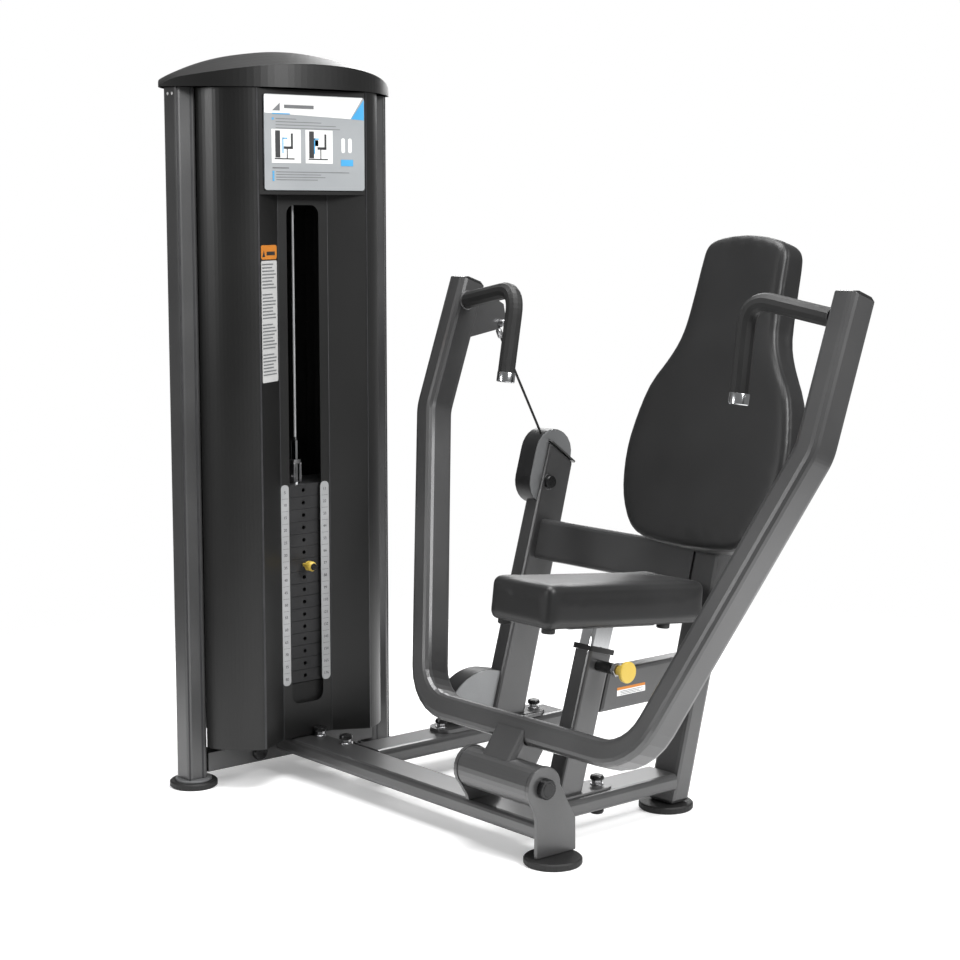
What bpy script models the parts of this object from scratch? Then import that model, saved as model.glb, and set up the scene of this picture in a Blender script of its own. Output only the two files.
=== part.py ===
"""Chest press machine: a weight tower, a seat frame and a swinging press frame.

Metres, +Z up. The user sits facing -Y, the weight tower stands on the -X side, and the
floor is z = 0. Every place is given in the machine's own frame (x = 0 on the seat's centre
plane, y = 0 on the tower's centre plane) and SHIFT moves the whole machine so that the
middle of its footprint is the world's origin.
"""

import math

import bmesh
import bpy
from mathutils import Matrix, Vector

# ---------------------------------------------------------------- driving dimensions
SHIFT = Vector((0.20265, -0.2302, 0.0))
GAP = 0.0003                 # clearance between pieces that touch

TOWER_X = -0.8645            # column plane of the weight tower
COLUMN_Y = 0.275             # column centre from the tower's centre plane
COLUMN_WIDTH = 0.050
COLUMN_DEPTH = 0.055
COLUMN_REACH = 0.058          # column size from front to rear
TOWER_TOP = 1.6515           # top of the columns and shrouds
SHROUD_BOTTOM = 0.095
SHROUD_WALL = 0.003
CAP_HALF_Y = 0.330
CAP_HALF_X = 0.1655
CAP_EDGE = 0.002
CAP_SPINE_Z = 1.7430

FOOT_RADIUS = 0.057           # tower feet
BASE_FOOT_RADIUS = 0.063      # feet under the seat frame
FOOT_HEIGHT = 0.016

RAIL_BOTTOM = 0.052
RAIL_TOP = 0.092
RAIL_HALF = 0.050
RAIL_WALL = 0.004
RAIL_RADIUS = 0.012
CROSS_X = -0.600             # centre of the cross rail, the mast and its cables

PIVOT_Y = -0.037
PIVOT_Z = 0.167
PIVOT_TUBE_RADIUS = 0.045
PIVOT_HEAD_RADIUS = 0.0470
SHAFT_RADIUS = 0.015

FRAME_LEAN = math.atan(0.355)   # the press frame leans back by this angle
FRAME_FRONT_Y = 0.217           # a point on the press frame's front face
FRAME_FRONT_Z = 0.906
FRAME_WIDTH = 0.058
FRAME_DEPTH = 0.0764

SEAT_TILT = math.radians(5.7)
SEAT_LENGTH = 0.481
SEAT_HALF = 0.097
SEAT_THICK = 0.095
POST_LEAN = math.radians(16.2)
POST_TOP = Vector((0.0, 0.2235, 0.402))   # centre of the sleeve's mouth

PAD_LEAN = math.atan(0.287)
PAD_THICK = 0.0787
PAD_FRONT_Y = 0.515             # a point on the back pad's front face
PAD_FRONT_Z = 0.660

STACK_X = -0.850                # centre of the weight plates
STACK_HALF_X = 0.067
STACK_HALF_Y = 0.150
STACK_BOTTOM = 0.228
PLATE_PITCH = 0.0305
PLATE_COUNT = 16
LIFTED_COUNT = 6                # plates under the head plate that the pin lifts
STEM_X = -0.815
STEM_RADIUS = 0.010
ROD_Y = 0.120
ROD_RADIUS = 0.009
PIN_HOLE_RADIUS = 0.0052

CABLE_RADIUS = 0.00275
CABLE_Z = 0.072                 # height of the cable inside the rails
CABLE_END = (0.4665, 1.0745)    # (y, z) where the cable hangs on the fin
GUIDE_PIN = (0.300, CABLE_Z)    # (y, z) of the cable under its guide pin
PULLEY_HALF = 0.006
BORE_RADIUS = 0.0075
AXLE_RADIUS = 0.006
MAST_PULLEY = (0.620, 0.689)    # (y, z) of the pulley axles on the mast
FOOT_PULLEY = (0.475, 0.155)
WRAP_RADIUS = 0.0495            # cable centre line around the two mast pulleys
GUARD_RADIUS = 0.060
GUARD_HALF = 0.016
TURN_RADIUS = 0.022
TURN_CENTRE = (CROSS_X - TURN_RADIUS, TURN_RADIUS)
TOWER_PULLEY_RADIUS = 0.040
TOWER_PULLEY_X = -0.9355
TOP_PULLEY_Z = 1.500

X_AXIS = Vector((1.0, 0.0, 0.0))
Y_AXIS = Vector((0.0, 1.0, 0.0))
Z_AXIS = Vector((0.0, 0.0, 1.0))


# ---------------------------------------------------------------- scene and materials
def clear_scene():
    for item in list(bpy.data.objects):
        bpy.data.objects.remove(item, do_unlink=True)


def make_collection(name):
    collection = bpy.data.collections.new(name)
    bpy.context.scene.collection.children.link(collection)
    return collection


clear_scene()
PARTS = make_collection("chest_press_machine")
CUTTERS = make_collection("cutters")


def make_material(name, colour, roughness, metallic):
    material = bpy.data.materials.new(name)
    material.use_nodes = True
    shader = material.node_tree.nodes["Principled BSDF"]
    shader.inputs["Base Color"].default_value = (*colour, 1.0)
    shader.inputs["Roughness"].default_value = roughness
    shader.inputs["Metallic"].default_value = metallic
    return material


FINISHES = {
    "paint": ((0.17, 0.17, 0.175), 0.38, 0.55),
    "shroud": ((0.025, 0.025, 0.027), 0.35, 0.0),
    "vinyl": ((0.022, 0.022, 0.024), 0.45, 0.0),
    "rubber": ((0.02, 0.02, 0.02), 0.70, 0.0),
    "chrome": ((0.75, 0.75, 0.76), 0.12, 1.0),
    "steel": ((0.52, 0.52, 0.53), 0.30, 1.0),
    "plate": ((0.10, 0.10, 0.105), 0.50, 0.3),
    "gold": ((0.68, 0.47, 0.08), 0.35, 0.0),
    "card": ((0.60, 0.62, 0.64), 0.40, 0.0),
    "nylon": ((0.03, 0.03, 0.03), 0.40, 0.0),
}


# ---------------------------------------------------------------- object helpers
def new_object(name, mesh, collection=PARTS):
    thing = bpy.data.objects.new(name, mesh)
    collection.objects.link(thing)
    return thing


def finish_piece(thing, finish):
    """Give a piece its own material and round shading, and put it in the world frame."""
    colour, roughness, metallic = FINISHES[finish]
    thing.data.materials.append(make_material(thing.name + "_" + finish, colour, roughness, metallic))
    thing.data.shade_smooth()
    thing.data.set_sharp_from_angle(angle=math.radians(30.0))
    thing.location = thing.location + SHIFT
    return thing


def frame_matrix(origin, side, along):
    """Local Z runs along the piece, local X points to its side."""
    z = along.normalized()
    x = (side - z * side.dot(z)).normalized()
    y = z.cross(x)
    matrix = Matrix((x, y, z)).transposed().to_4x4()
    matrix.translation = origin
    return matrix


def prism_mesh(name, outlines, thickness):
    """A flat outline, with holes, extruded to its thickness about z = 0."""
    curve = bpy.data.curves.new(name, "CURVE")
    curve.dimensions = "2D"
    curve.fill_mode = "BOTH"
    curve.extrude = thickness / 2
    for outline in outlines:
        spline = curve.splines.new("POLY")
        spline.points.add(len(outline) - 1)
        for point, place in zip(spline.points, outline):
            point.co = (place[0], place[1], 0.0, 1.0)
        spline.use_cyclic_u = True
    holder = new_object(name + "_outline", curve)
    evaluated = holder.evaluated_get(bpy.context.evaluated_depsgraph_get())
    mesh = bpy.data.meshes.new_from_object(evaluated)
    bpy.data.objects.remove(holder, do_unlink=True)
    mesh.name = name
    weld(mesh)
    return mesh


def weld(mesh):
    shape = bmesh.new()
    shape.from_mesh(mesh)
    bmesh.ops.remove_doubles(shape, verts=shape.verts, dist=0.00005)
    bmesh.ops.dissolve_limit(shape, angle_limit=math.radians(0.5), verts=shape.verts, edges=shape.edges)
    bmesh.ops.recalc_face_normals(shape, faces=shape.faces)
    shape.to_mesh(mesh)
    shape.free()


def prism(name, outlines, thickness, matrix, collection=PARTS):
    thing = new_object(name, prism_mesh(name, outlines, thickness), collection)
    thing.matrix_world = matrix
    return thing


def side_prism(name, outline, x_low, x_high, collection=PARTS, holes=()):
    """An outline given as (y, z) points, extruded along X."""
    matrix = frame_matrix(Vector(((x_low + x_high) / 2, 0.0, 0.0)), Y_AXIS, X_AXIS)
    return prism(name, [outline, *holes], x_high - x_low, matrix, collection)


def box(name, low, high, collection=PARTS):
    low = Vector(low)
    high = Vector(high)
    mesh = bpy.data.meshes.new(name)
    shape = bmesh.new()
    bmesh.ops.create_cube(shape, size=1.0)
    bmesh.ops.scale(shape, vec=high - low, verts=shape.verts)
    shape.to_mesh(mesh)
    shape.free()
    thing = new_object(name, mesh, collection)
    thing.location = (low + high) / 2
    return thing


def rod(name, start, end, radius, segments=20, collection=PARTS):
    start = Vector(start)
    end = Vector(end)
    mesh = bpy.data.meshes.new(name)
    shape = bmesh.new()
    bmesh.ops.create_cone(shape, cap_ends=True, segments=segments, radius1=radius, radius2=radius,
                          depth=(end - start).length)
    shape.to_mesh(mesh)
    shape.free()
    thing = new_object(name, mesh, collection)
    side = Y_AXIS if abs((end - start).normalized().y) < 0.9 else X_AXIS
    thing.matrix_world = frame_matrix((start + end) / 2, side, end - start)
    return thing


def turned(name, profile, centre, axis, steps=24):
    """A profile of (radius, height) points, top to bottom on its outer side, turned round axis."""
    mesh = bpy.data.meshes.new(name)
    shape = bmesh.new()
    corners = [shape.verts.new((radius, 0.0, height)) for radius, height in profile]
    closed = profile[0][0] > 0.0
    pairs = list(zip(corners, corners[1:]))
    if closed:
        pairs.append((corners[-1], corners[0]))
    for first, second in pairs:
        shape.edges.new((first, second))
    shape.to_mesh(mesh)
    shape.free()
    thing = new_object(name, mesh)
    side = Y_AXIS if abs(axis.y) < 0.9 else X_AXIS
    thing.matrix_world = frame_matrix(Vector(centre), side, axis)
    screw = thing.modifiers.new("turn", "SCREW")
    screw.axis = "Z"
    screw.steps = steps
    screw.render_steps = steps
    screw.use_merge_vertices = True
    screw.merge_threshold = 0.00005
    return thing


def tube_curve(name, points, radius, sides_level, collection=PARTS):
    """A round bar along a route of points."""
    curve = bpy.data.curves.new(name, "CURVE")
    curve.dimensions = "3D"
    curve.bevel_depth = radius
    curve.bevel_resolution = sides_level
    curve.use_fill_caps = True
    spline = curve.splines.new("POLY")
    spline.points.add(len(points) - 1)
    for point, place in zip(spline.points, points):
        point.co = (*place, 1.0)
    holder = new_object(name + "_route", curve)
    evaluated = holder.evaluated_get(bpy.context.evaluated_depsgraph_get())
    mesh = bpy.data.meshes.new_from_object(evaluated)
    bpy.data.objects.remove(holder, do_unlink=True)
    mesh.name = name
    weld(mesh)
    return new_object(name, mesh, collection)


def round_edges(thing, width, segments=2, angle=35.0):
    bevel = thing.modifiers.new("rounded_edges", "BEVEL")
    bevel.width = width
    bevel.segments = segments
    bevel.limit_method = "ANGLE"
    bevel.angle_limit = math.radians(angle)
    return thing


def combine(thing, tool, operation):
    modifier = thing.modifiers.new(tool.name, "BOOLEAN")
    modifier.operation = operation
    modifier.object = tool
    tool.hide_render = True
    tool.display_type = "WIRE"
    tool.location = tool.location + SHIFT


def cut(thing, cutter):
    combine(thing, cutter, "DIFFERENCE")


def join(thing, addition):
    combine(thing, addition, "UNION")


# ---------------------------------------------------------------- outline helpers
def arc(centre, radius, start_deg, end_deg, steps):
    """Points along an arc, both ends included."""
    points = []
    for index in range(steps + 1):
        angle = math.radians(start_deg + (end_deg - start_deg) * index / steps)
        points.append((centre[0] + radius * math.cos(angle), centre[1] + radius * math.sin(angle)))
    return points


def circle(centre, radius, steps):
    return arc(centre, radius, 0.0, 360.0 - 360.0 / steps, steps - 1)


def rounded_rectangle(width, height, radius, steps=3):
    points = []
    for sx, sy, start in ((1, 1, 0), (-1, 1, 90), (-1, -1, 180), (1, -1, 270)):
        centre = (sx * (width / 2 - radius), sy * (height / 2 - radius))
        points += arc(centre, radius, start, start + 90, steps)
    return points


def stadium(first, second, radius, steps=10):
    """A slot shape around the line from first to second."""
    heading = math.degrees(math.atan2(second[1] - first[1], second[0] - first[0]))
    return (arc(second, radius, heading - 90, heading + 90, steps)
            + arc(first, radius, heading + 90, heading + 270, steps))


def rounded_path(points, radii, steps=5):
    """A polyline whose inner corners are arcs of the given radii."""
    path = [points[0]]
    for before, corner, after, radius in zip(points, points[1:], points[2:], radii):
        corner = Vector(corner)
        back = (Vector(before) - corner).normalized()
        ahead = (Vector(after) - corner).normalized()
        half = back.angle(ahead) / 2
        reach = radius / math.tan(half)
        centre = corner + (back + ahead).normalized() * (radius / math.sin(half))
        start = corner + back * reach - centre
        end = corner + ahead * reach - centre
        turn = start.angle_signed(end)
        for index in range(steps + 1):
            spin = Matrix.Rotation(-turn * index / steps, 2)
            path.append(tuple(centre + spin @ start))
    path.append(points[-1])
    return path


def band(path, width):
    """The closed outline of a strip of the given width along a path."""
    left = []
    right = []
    for index, place in enumerate(path):
        here = Vector(place)
        before = Vector(path[max(index - 1, 0)])
        after = Vector(path[min(index + 1, len(path) - 1)])
        first = (here - before).normalized() if index > 0 else (after - here).normalized()
        second = (after - here).normalized() if index < len(path) - 1 else first
        normal = Vector((-first.y - second.y, first.x + second.x)).normalized()
        stretch = 1.0 / max(normal.dot(Vector((-first.y, first.x))), 0.3)
        left.append(tuple(here + normal * (width / 2 * stretch)))
        right.append(tuple(here - normal * (width / 2 * stretch)))
    return left + right[::-1]


def inset(outline, distance):
    """A convex outline, given anticlockwise, with every side moved in."""
    shrunk = []
    count = len(outline)
    for index in range(count):
        before = Vector(outline[index - 1])
        here = Vector(outline[index])
        after = Vector(outline[(index + 1) % count])
        first = (here - before).normalized()
        second = (after - here).normalized()
        normal = Vector((-first.y - second.y, first.x + second.x)).normalized()
        stretch = 1.0 / normal.dot(Vector((-first.y, first.x)))
        shrunk.append(tuple(here + normal * (distance * stretch)))
    return shrunk


def smooth_route(points, steps=4):
    """A Catmull-Rom curve through the given points."""
    route = []
    padded = [points[0], *points, points[-1]]
    for p0, p1, p2, p3 in zip(padded, padded[1:], padded[2:], padded[3:]):
        for index in range(steps):
            t = index / steps
            route.append(tuple(0.5 * (2 * b + (c - a) * t + (2 * a - 5 * b + 4 * c - d) * t * t
                                      + (3 * b - a - 3 * c + d) * t ** 3)
                               for a, b, c, d in zip(p0, p1, p2, p3)))
    route.append(tuple(points[-1]))
    return route


# ---------------------------------------------------------------- base frame
def hollow_bar(name, start, end, side, width, height):
    """A rectangular steel tube with round corners and open ends."""
    start = Vector(start)
    end = Vector(end)
    outer = rounded_rectangle(width, height, RAIL_RADIUS)
    inner = rounded_rectangle(width - 2 * RAIL_WALL, height - 2 * RAIL_WALL, RAIL_RADIUS - RAIL_WALL)
    return prism(name, [outer, inner], (end - start).length, frame_matrix((start + end) / 2, side, end - start))


def make_base_rail():
    middle = (RAIL_BOTTOM + RAIL_TOP) / 2
    rail = hollow_bar("base_rail", (TOWER_X + 0.0258, 0.0, middle), (0.1168, 0.0, middle), Y_AXIS,
                      2 * RAIL_HALF, RAIL_TOP - RAIL_BOTTOM)
    axle = rod("turn_pulley_axle", (*TURN_CENTRE, RAIL_BOTTOM + 0.002), (*TURN_CENTRE, RAIL_TOP - 0.002),
               AXLE_RADIUS, 12, CUTTERS)
    join(rail, axle)
    window = box("base_rail_window", (CROSS_X - 0.044, 0.040, CABLE_Z - 0.0075),
                 (CROSS_X + 0.012, 0.060, CABLE_Z + 0.0075), CUTTERS)
    cut(rail, window)
    finish_piece(rail, "paint")


def make_cross_rail():
    middle = (RAIL_BOTTOM + RAIL_TOP) / 2
    rail = hollow_bar("cross_rail", (CROSS_X, RAIL_HALF + GAP, middle), (CROSS_X, 0.655, middle), X_AXIS,
                      2 * RAIL_HALF, RAIL_TOP - RAIL_BOTTOM)
    cut(rail, guard_prism("cross_rail_slot", foot_guard_outline(), 0.0005, GUARD_HALF + 0.0005, CUTTERS))
    radius = 0.0050
    pin_z = CABLE_Z + CABLE_RADIUS + 0.0006 + radius
    half = RAIL_HALF - RAIL_WALL / 2
    join(rail, rod("cable_guide_pin", (CROSS_X - half, GUIDE_PIN[0], pin_z), (CROSS_X + half, GUIDE_PIN[0], pin_z),
                   radius, 12, CUTTERS))
    finish_piece(rail, "paint")


def make_seat_rail():
    middle = (RAIL_BOTTOM + RAIL_TOP) / 2
    rail = hollow_bar("seat_rail", (0.0, RAIL_HALF + GAP, middle), (0.0, 0.4445, middle), X_AXIS,
                      2 * RAIL_HALF, RAIL_TOP - RAIL_BOTTOM)
    finish_piece(rail, "paint")


def make_foot(name, x, y, radius):
    foot = rod(name, (x, y, 0.0), (x, y, FOOT_HEIGHT), radius, 32)
    round_edges(foot, 0.003, 1)
    finish_piece(foot, "rubber")


def upright_front(z):
    """Front face of the rear upright up to the back pad's bracket."""
    return 0.436 + 0.259 * (z - 0.010)


def make_rear_upright():
    depth = 0.0568
    low, knee, top = FOOT_HEIGHT + GAP, 0.620, 1.120
    top_front = upright_front(knee) + 0.287 * (top - knee)
    outline = [(upright_front(low), low), (upright_front(low) + depth, low),
               (upright_front(knee) + depth, knee), (top_front + depth, top - 0.016),
               (top_front, top), (upright_front(knee), knee)]
    upright = side_prism("rear_upright", outline, -0.040, 0.040)
    round_edges(upright, 0.010, 2, 60.0)
    finish_piece(upright, "paint")


def make_pivot_plates():
    head = arc((PIVOT_Y, PIVOT_Z), PIVOT_HEAD_RADIUS, 0.0, 222.0, 16)
    hole = circle((PIVOT_Y, PIVOT_Z), SHAFT_RADIUS + 0.0006, 20)
    low = FOOT_HEIGHT + GAP
    outer = [(-0.058, low), (0.055, low), (0.054, 0.086), *head, (-0.058, 0.105)]
    plate = side_prism("pivot_plate_outer", outer, 0.1172, 0.1270, holes=[hole])
    round_edges(plate, 0.0015, 1, 60.0)
    finish_piece(plate, "paint")
    low = RAIL_TOP + GAP
    inner = [(-0.048, low), (0.048, low), (0.046, 0.110), *head, (-0.052, 0.105)]
    plate = side_prism("pivot_plate_inner", inner, -0.115, -0.1055, holes=[hole])
    round_edges(plate, 0.0015, 1, 60.0)
    finish_piece(plate, "paint")


def make_pivot_shaft():
    profile = [(0.0, 0.014), (0.020, 0.014), (0.022, 0.012), (0.022, 0.0004), (SHAFT_RADIUS, 0.0004),
               (SHAFT_RADIUS, -0.255), (0.0, -0.255)]
    shaft = turned("pivot_shaft", profile, (0.1270, PIVOT_Y, PIVOT_Z), X_AXIS, 20)
    finish_piece(shaft, "steel")


# ---------------------------------------------------------------- mast, cross tubes, guards
MAST_GUARD = ((0.620, 0.689), (0.640, 0.760))


def mast_guard_outline():
    return stadium(*MAST_GUARD, GUARD_RADIUS)


def foot_guard_outline():
    """A wide round back over the pulley, and a blunt nose where the cable leaves."""
    back = arc(FOOT_PULLEY, GUARD_RADIUS, -78.1, 75.0, 8)
    crown = arc((0.411, 0.0945), 0.1329, 80.0, 138.0, 8)
    nose = arc((0.380, 0.135), GUARD_RADIUS, 190.0, 281.9, 6)
    return [*back, *crown, *nose]


def guard_prism(name, outline, growth, half, collection=PARTS):
    return side_prism(name, inset(outline, -growth), CROSS_X - half, CROSS_X + half, collection)


def make_mast():
    outline = [(0.4258, RAIL_TOP + 0.004), (0.5343, RAIL_TOP + 0.004), (0.662, 0.586), (0.699, 0.733),
               (0.622, 0.790)]
    mast = side_prism("mast", outline, CROSS_X - 0.025, CROSS_X + 0.025)
    round_edges(mast, 0.007, 2, 60.0)
    plate = box("mast_base_plate", (CROSS_X - 0.048, 0.405, RAIL_TOP + GAP), (CROSS_X + 0.048, 0.570, 0.1003),
                CUTTERS)
    join(mast, plate)
    for name, guard in (("mast_slot_top", mast_guard_outline()), ("mast_slot_foot", foot_guard_outline())):
        cut(mast, guard_prism(name, guard, 0.0006, GUARD_HALF + 0.0006, CUTTERS))
    cavity = side_prism("mast_cavity", inset(outline, 0.005), CROSS_X - 0.020, CROSS_X + 0.020, CUTTERS)
    cut(mast, cavity)
    finish_piece(mast, "paint")


def make_guard(name, outline, axle_centre, mouths):
    """A hollow pulley cover with its axle and the two mouths that the cable runs through."""
    guard = guard_prism(name, outline, 0.0, GUARD_HALF)
    cut(guard, guard_prism(name + "_hollow", outline, -0.003, GUARD_HALF - 0.003, CUTTERS))
    for index, (low, high) in enumerate(mouths):
        mouth = box(name + "_mouth_%d" % index, (CROSS_X - 0.007, *low), (CROSS_X + 0.007, *high), CUTTERS)
        cut(guard, mouth)
    axle = rod(name + "_axle", (CROSS_X - 0.0145, *axle_centre), (CROSS_X + 0.0145, *axle_centre),
               AXLE_RADIUS, 12, CUTTERS)
    join(guard, axle)
    finish_piece(guard, "nylon")


def make_guards():
    make_guard("mast_pulley_guard", mast_guard_outline(), MAST_PULLEY,
               [((0.560, 0.770), (0.720, 0.840)), ((0.640, 0.615), (0.700, 0.665))])
    make_guard("foot_pulley_guard", foot_guard_outline(), FOOT_PULLEY,
               [((0.495, 0.148), (0.555, 0.230)), ((0.300, 0.060), (0.366, 0.100))])


def make_cross_tubes():
    lean = Vector((0.0, 0.250, 0.968))
    centre_y, centre_z = 0.6005, 0.542
    upper = hollow_bar("upper_cross_tube", (CROSS_X + 0.0253, centre_y, centre_z), (-0.0403, centre_y, centre_z),
                       lean, 0.104, 0.050)
    finish_piece(upper, "paint")
    low, high = 0.266, 0.358

    def sleeve_back(z):
        return POST_TOP.y + (z - POST_TOP.z) * math.tan(POST_LEAN) + 0.0355 / math.cos(POST_LEAN) + GAP

    outline = [(sleeve_back(low), low), (upright_front(low) - GAP, low), (upright_front(high) - GAP, high),
               (sleeve_back(high), high)]
    lower = side_prism("lower_cross_tube", outline, -0.025, 0.025)
    round_edges(lower, 0.008, 2, 80.0)
    finish_piece(lower, "paint")


# ---------------------------------------------------------------- seat
POST_AXIS = Vector((0.0, math.sin(POST_LEAN), math.cos(POST_LEAN)))
PIN_CENTRE = POST_TOP - POST_AXIS * 0.027


def make_seat_sleeve():
    outer = rounded_rectangle(0.050, 0.071, 0.008)
    inner = rounded_rectangle(0.042, 0.064, 0.005)
    length = 0.345
    middle = POST_TOP - POST_AXIS * (length / 2)
    sleeve = prism("seat_sleeve", [outer, inner], length, frame_matrix(middle, X_AXIS, POST_AXIS))
    cut(sleeve, box("sleeve_trim", (-0.06, 0.0, 0.0), (0.06, 0.30, RAIL_TOP + GAP), CUTTERS))
    hole = rod("sleeve_pin_hole", PIN_CENTRE + X_AXIS * 0.015, PIN_CENTRE + X_AXIS * 0.035, PIN_HOLE_RADIUS + 0.0005,
               12, CUTTERS)
    cut(sleeve, hole)
    finish_piece(sleeve, "paint")


def make_seat_post():
    low, high = -0.200, 0.100
    post = prism("seat_post", [rounded_rectangle(0.041, 0.063, 0.0065)], high - low,
                 frame_matrix(POST_TOP + POST_AXIS * ((low + high) / 2), X_AXIS, POST_AXIS))
    forward = Vector((0.0, math.cos(SEAT_TILT), -math.sin(SEAT_TILT)))
    above = prism("post_top_cut", [rounded_rectangle(0.200, 0.080, 0.001, 1)], 0.300,
                  frame_matrix(seat_place(0.235, SEAT_THICK + 0.0060 - 0.040), X_AXIS, forward), CUTTERS)
    cut(post, above)
    for index in range(5):
        centre = PIN_CENTRE + POST_AXIS * (0.035 * (index - 3))
        hole = rod("post_hole_%d" % index, centre + X_AXIS * 0.012, centre + X_AXIS * 0.030, 0.006, 10, CUTTERS)
        cut(post, hole)
    finish_piece(post, "chrome")


def seat_place(along, drop):
    """A point on the seat's centre plane: along from its front edge, drop under its top."""
    top = Vector((0.0, along * math.cos(SEAT_TILT), 0.589 - along * math.sin(SEAT_TILT)))
    return top - Vector((0.0, math.sin(SEAT_TILT), math.cos(SEAT_TILT))) * drop


def make_seat():
    forward = Vector((0.0, math.cos(SEAT_TILT), -math.sin(SEAT_TILT)))
    pad = prism("seat_pad", [rounded_rectangle(2 * SEAT_HALF, SEAT_THICK, 0.016, 3)], SEAT_LENGTH,
                frame_matrix(seat_place(0.006 + SEAT_LENGTH / 2, SEAT_THICK / 2), X_AXIS, forward))
    round_edges(pad, 0.021, 3, 80.0)
    finish_piece(pad, "vinyl")
    thick = 0.0052
    plate = prism("seat_plate", [rounded_rectangle(0.120, thick, 0.001, 1)], 0.260,
                  frame_matrix(seat_place(0.235, SEAT_THICK + GAP + thick / 2), X_AXIS, forward))
    finish_piece(plate, "paint")


def make_pop_pin():
    ring = [(0.0125, 0.031), (0.0125, -0.031), (0.0056, -0.031), (0.0056, 0.031)]
    barrel = turned("pop_pin_barrel", ring, PIN_CENTRE + X_AXIS * 0.0565, X_AXIS, 20)
    finish_piece(barrel, "steel")
    profile = [(0.0, 0.1200), (0.0222, 0.1198), (0.0238, 0.1182), (0.0240, 0.1150), (0.0236, 0.1118),
               (0.0215, 0.1100), (0.0125, 0.1085), (0.0115, 0.1070), (0.0115, 0.0905), (0.0048, 0.0905),
               (0.0048, 0.0212), (0.0, 0.0212)]
    knob = turned("pop_pin_knob", profile, PIN_CENTRE, X_AXIS, 28)
    finish_piece(knob, "gold")


# ---------------------------------------------------------------- back pad
def pad_place(x, z, depth):
    """A point on the leaning back pad: depth is measured from its front face."""
    back = Vector((0.0, math.cos(PAD_LEAN), -math.sin(PAD_LEAN)))
    return Vector((x, PAD_FRONT_Y + math.tan(PAD_LEAN) * (z - PAD_FRONT_Z), z)) + back * depth


def make_back_pad():
    up = Vector((0.0, math.sin(PAD_LEAN), math.cos(PAD_LEAN)))
    half_outline = [(0.000, 0.606), (0.116, 0.611), (0.182, 0.634), (0.228, 0.700), (0.247, 0.785),
                    (0.243, 0.865), (0.217, 0.962), (0.168, 1.036), (0.141, 1.104), (0.130, 1.240),
                    (0.124, 1.284), (0.104, 1.305), (0.055, 1.317), (0.000, 1.321)]
    middle = 0.950
    scale = 1.0 / math.cos(PAD_LEAN)
    right = [(x, (z - middle) * scale) for x, z in half_outline]
    left = [(-x, v) for x, v in reversed(right[1:-1])]
    loop = right + left
    outline = smooth_route(loop + [loop[0]], 3)[:-1]
    matrix = frame_matrix(pad_place(0.0, middle, PAD_THICK / 2), X_AXIS, X_AXIS.cross(up))
    pad = prism("back_pad", [outline], PAD_THICK, matrix)
    round_edges(pad, 0.014, 2, 60.0)
    finish_piece(pad, "vinyl")


def make_pad_bracket():
    low, high = 0.700, 1.080
    length = (high - low) / math.cos(PAD_LEAN)
    up = Vector((0.0, math.sin(PAD_LEAN), math.cos(PAD_LEAN)))
    bracket = prism("back_pad_bracket", [rounded_rectangle(0.100, 0.0066, 0.001, 1)], length,
                    frame_matrix(pad_place(0.0, (low + high) / 2, PAD_THICK + 0.0040), X_AXIS, up))
    finish_piece(bracket, "paint")


# ---------------------------------------------------------------- press frame
FRAME_UP = Vector((0.0, math.sin(FRAME_LEAN), math.cos(FRAME_LEAN)))
FRAME_BACK = Vector((0.0, math.cos(FRAME_LEAN), -math.sin(FRAME_LEAN)))


def press_place(x, z, depth):
    """A point on the press frame: depth is measured from its front face."""
    return Vector((x, FRAME_FRONT_Y + math.tan(FRAME_LEAN) * (z - FRAME_FRONT_Z), z)) + FRAME_BACK * depth


def make_press_frame():
    origin = press_place(0.0, FRAME_FRONT_Z, FRAME_DEPTH / 2)
    scale = 1.0 / math.cos(FRAME_LEAN)
    half = FRAME_WIDTH / 2
    corners = [(0.6249 - half, 1.243), (0.6217 - half, 0.909), (0.3335, 0.2685)]
    right = [(x, (z - FRAME_FRONT_Z) * scale) for x, z in corners]
    left = [(-x, v) for x, v in reversed(right)]
    path = rounded_path(right + left, (0.10, 0.125, 0.125, 0.10), 6)
    matrix = frame_matrix(origin, X_AXIS, -FRAME_BACK)
    frame = prism("press_frame", [band(path, FRAME_WIDTH)], FRAME_DEPTH, matrix)
    round_edges(frame, 0.015, 3, 50.0)
    above = press_place(0.0, 1.213, FRAME_DEPTH / 2) + FRAME_UP * 0.050
    cut(frame, prism("frame_top_cut", [rounded_rectangle(1.40, 0.10, 0.001, 1)], 0.2,
                     frame_matrix(above, X_AXIS, FRAME_BACK), CUTTERS))
    finish_piece(frame, "paint")


def make_pivot_tube():
    half = 0.1103
    centre = Vector((0.0054, PIVOT_Y, PIVOT_Z))
    ring = [(PIVOT_TUBE_RADIUS, half), (PIVOT_TUBE_RADIUS, -half), (SHAFT_RADIUS + 0.0006, -half),
            (SHAFT_RADIUS + 0.0006, half)]
    tube = turned("pivot_tube", ring, centre, X_AXIS, 28)
    finish_piece(tube, "paint")


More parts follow.
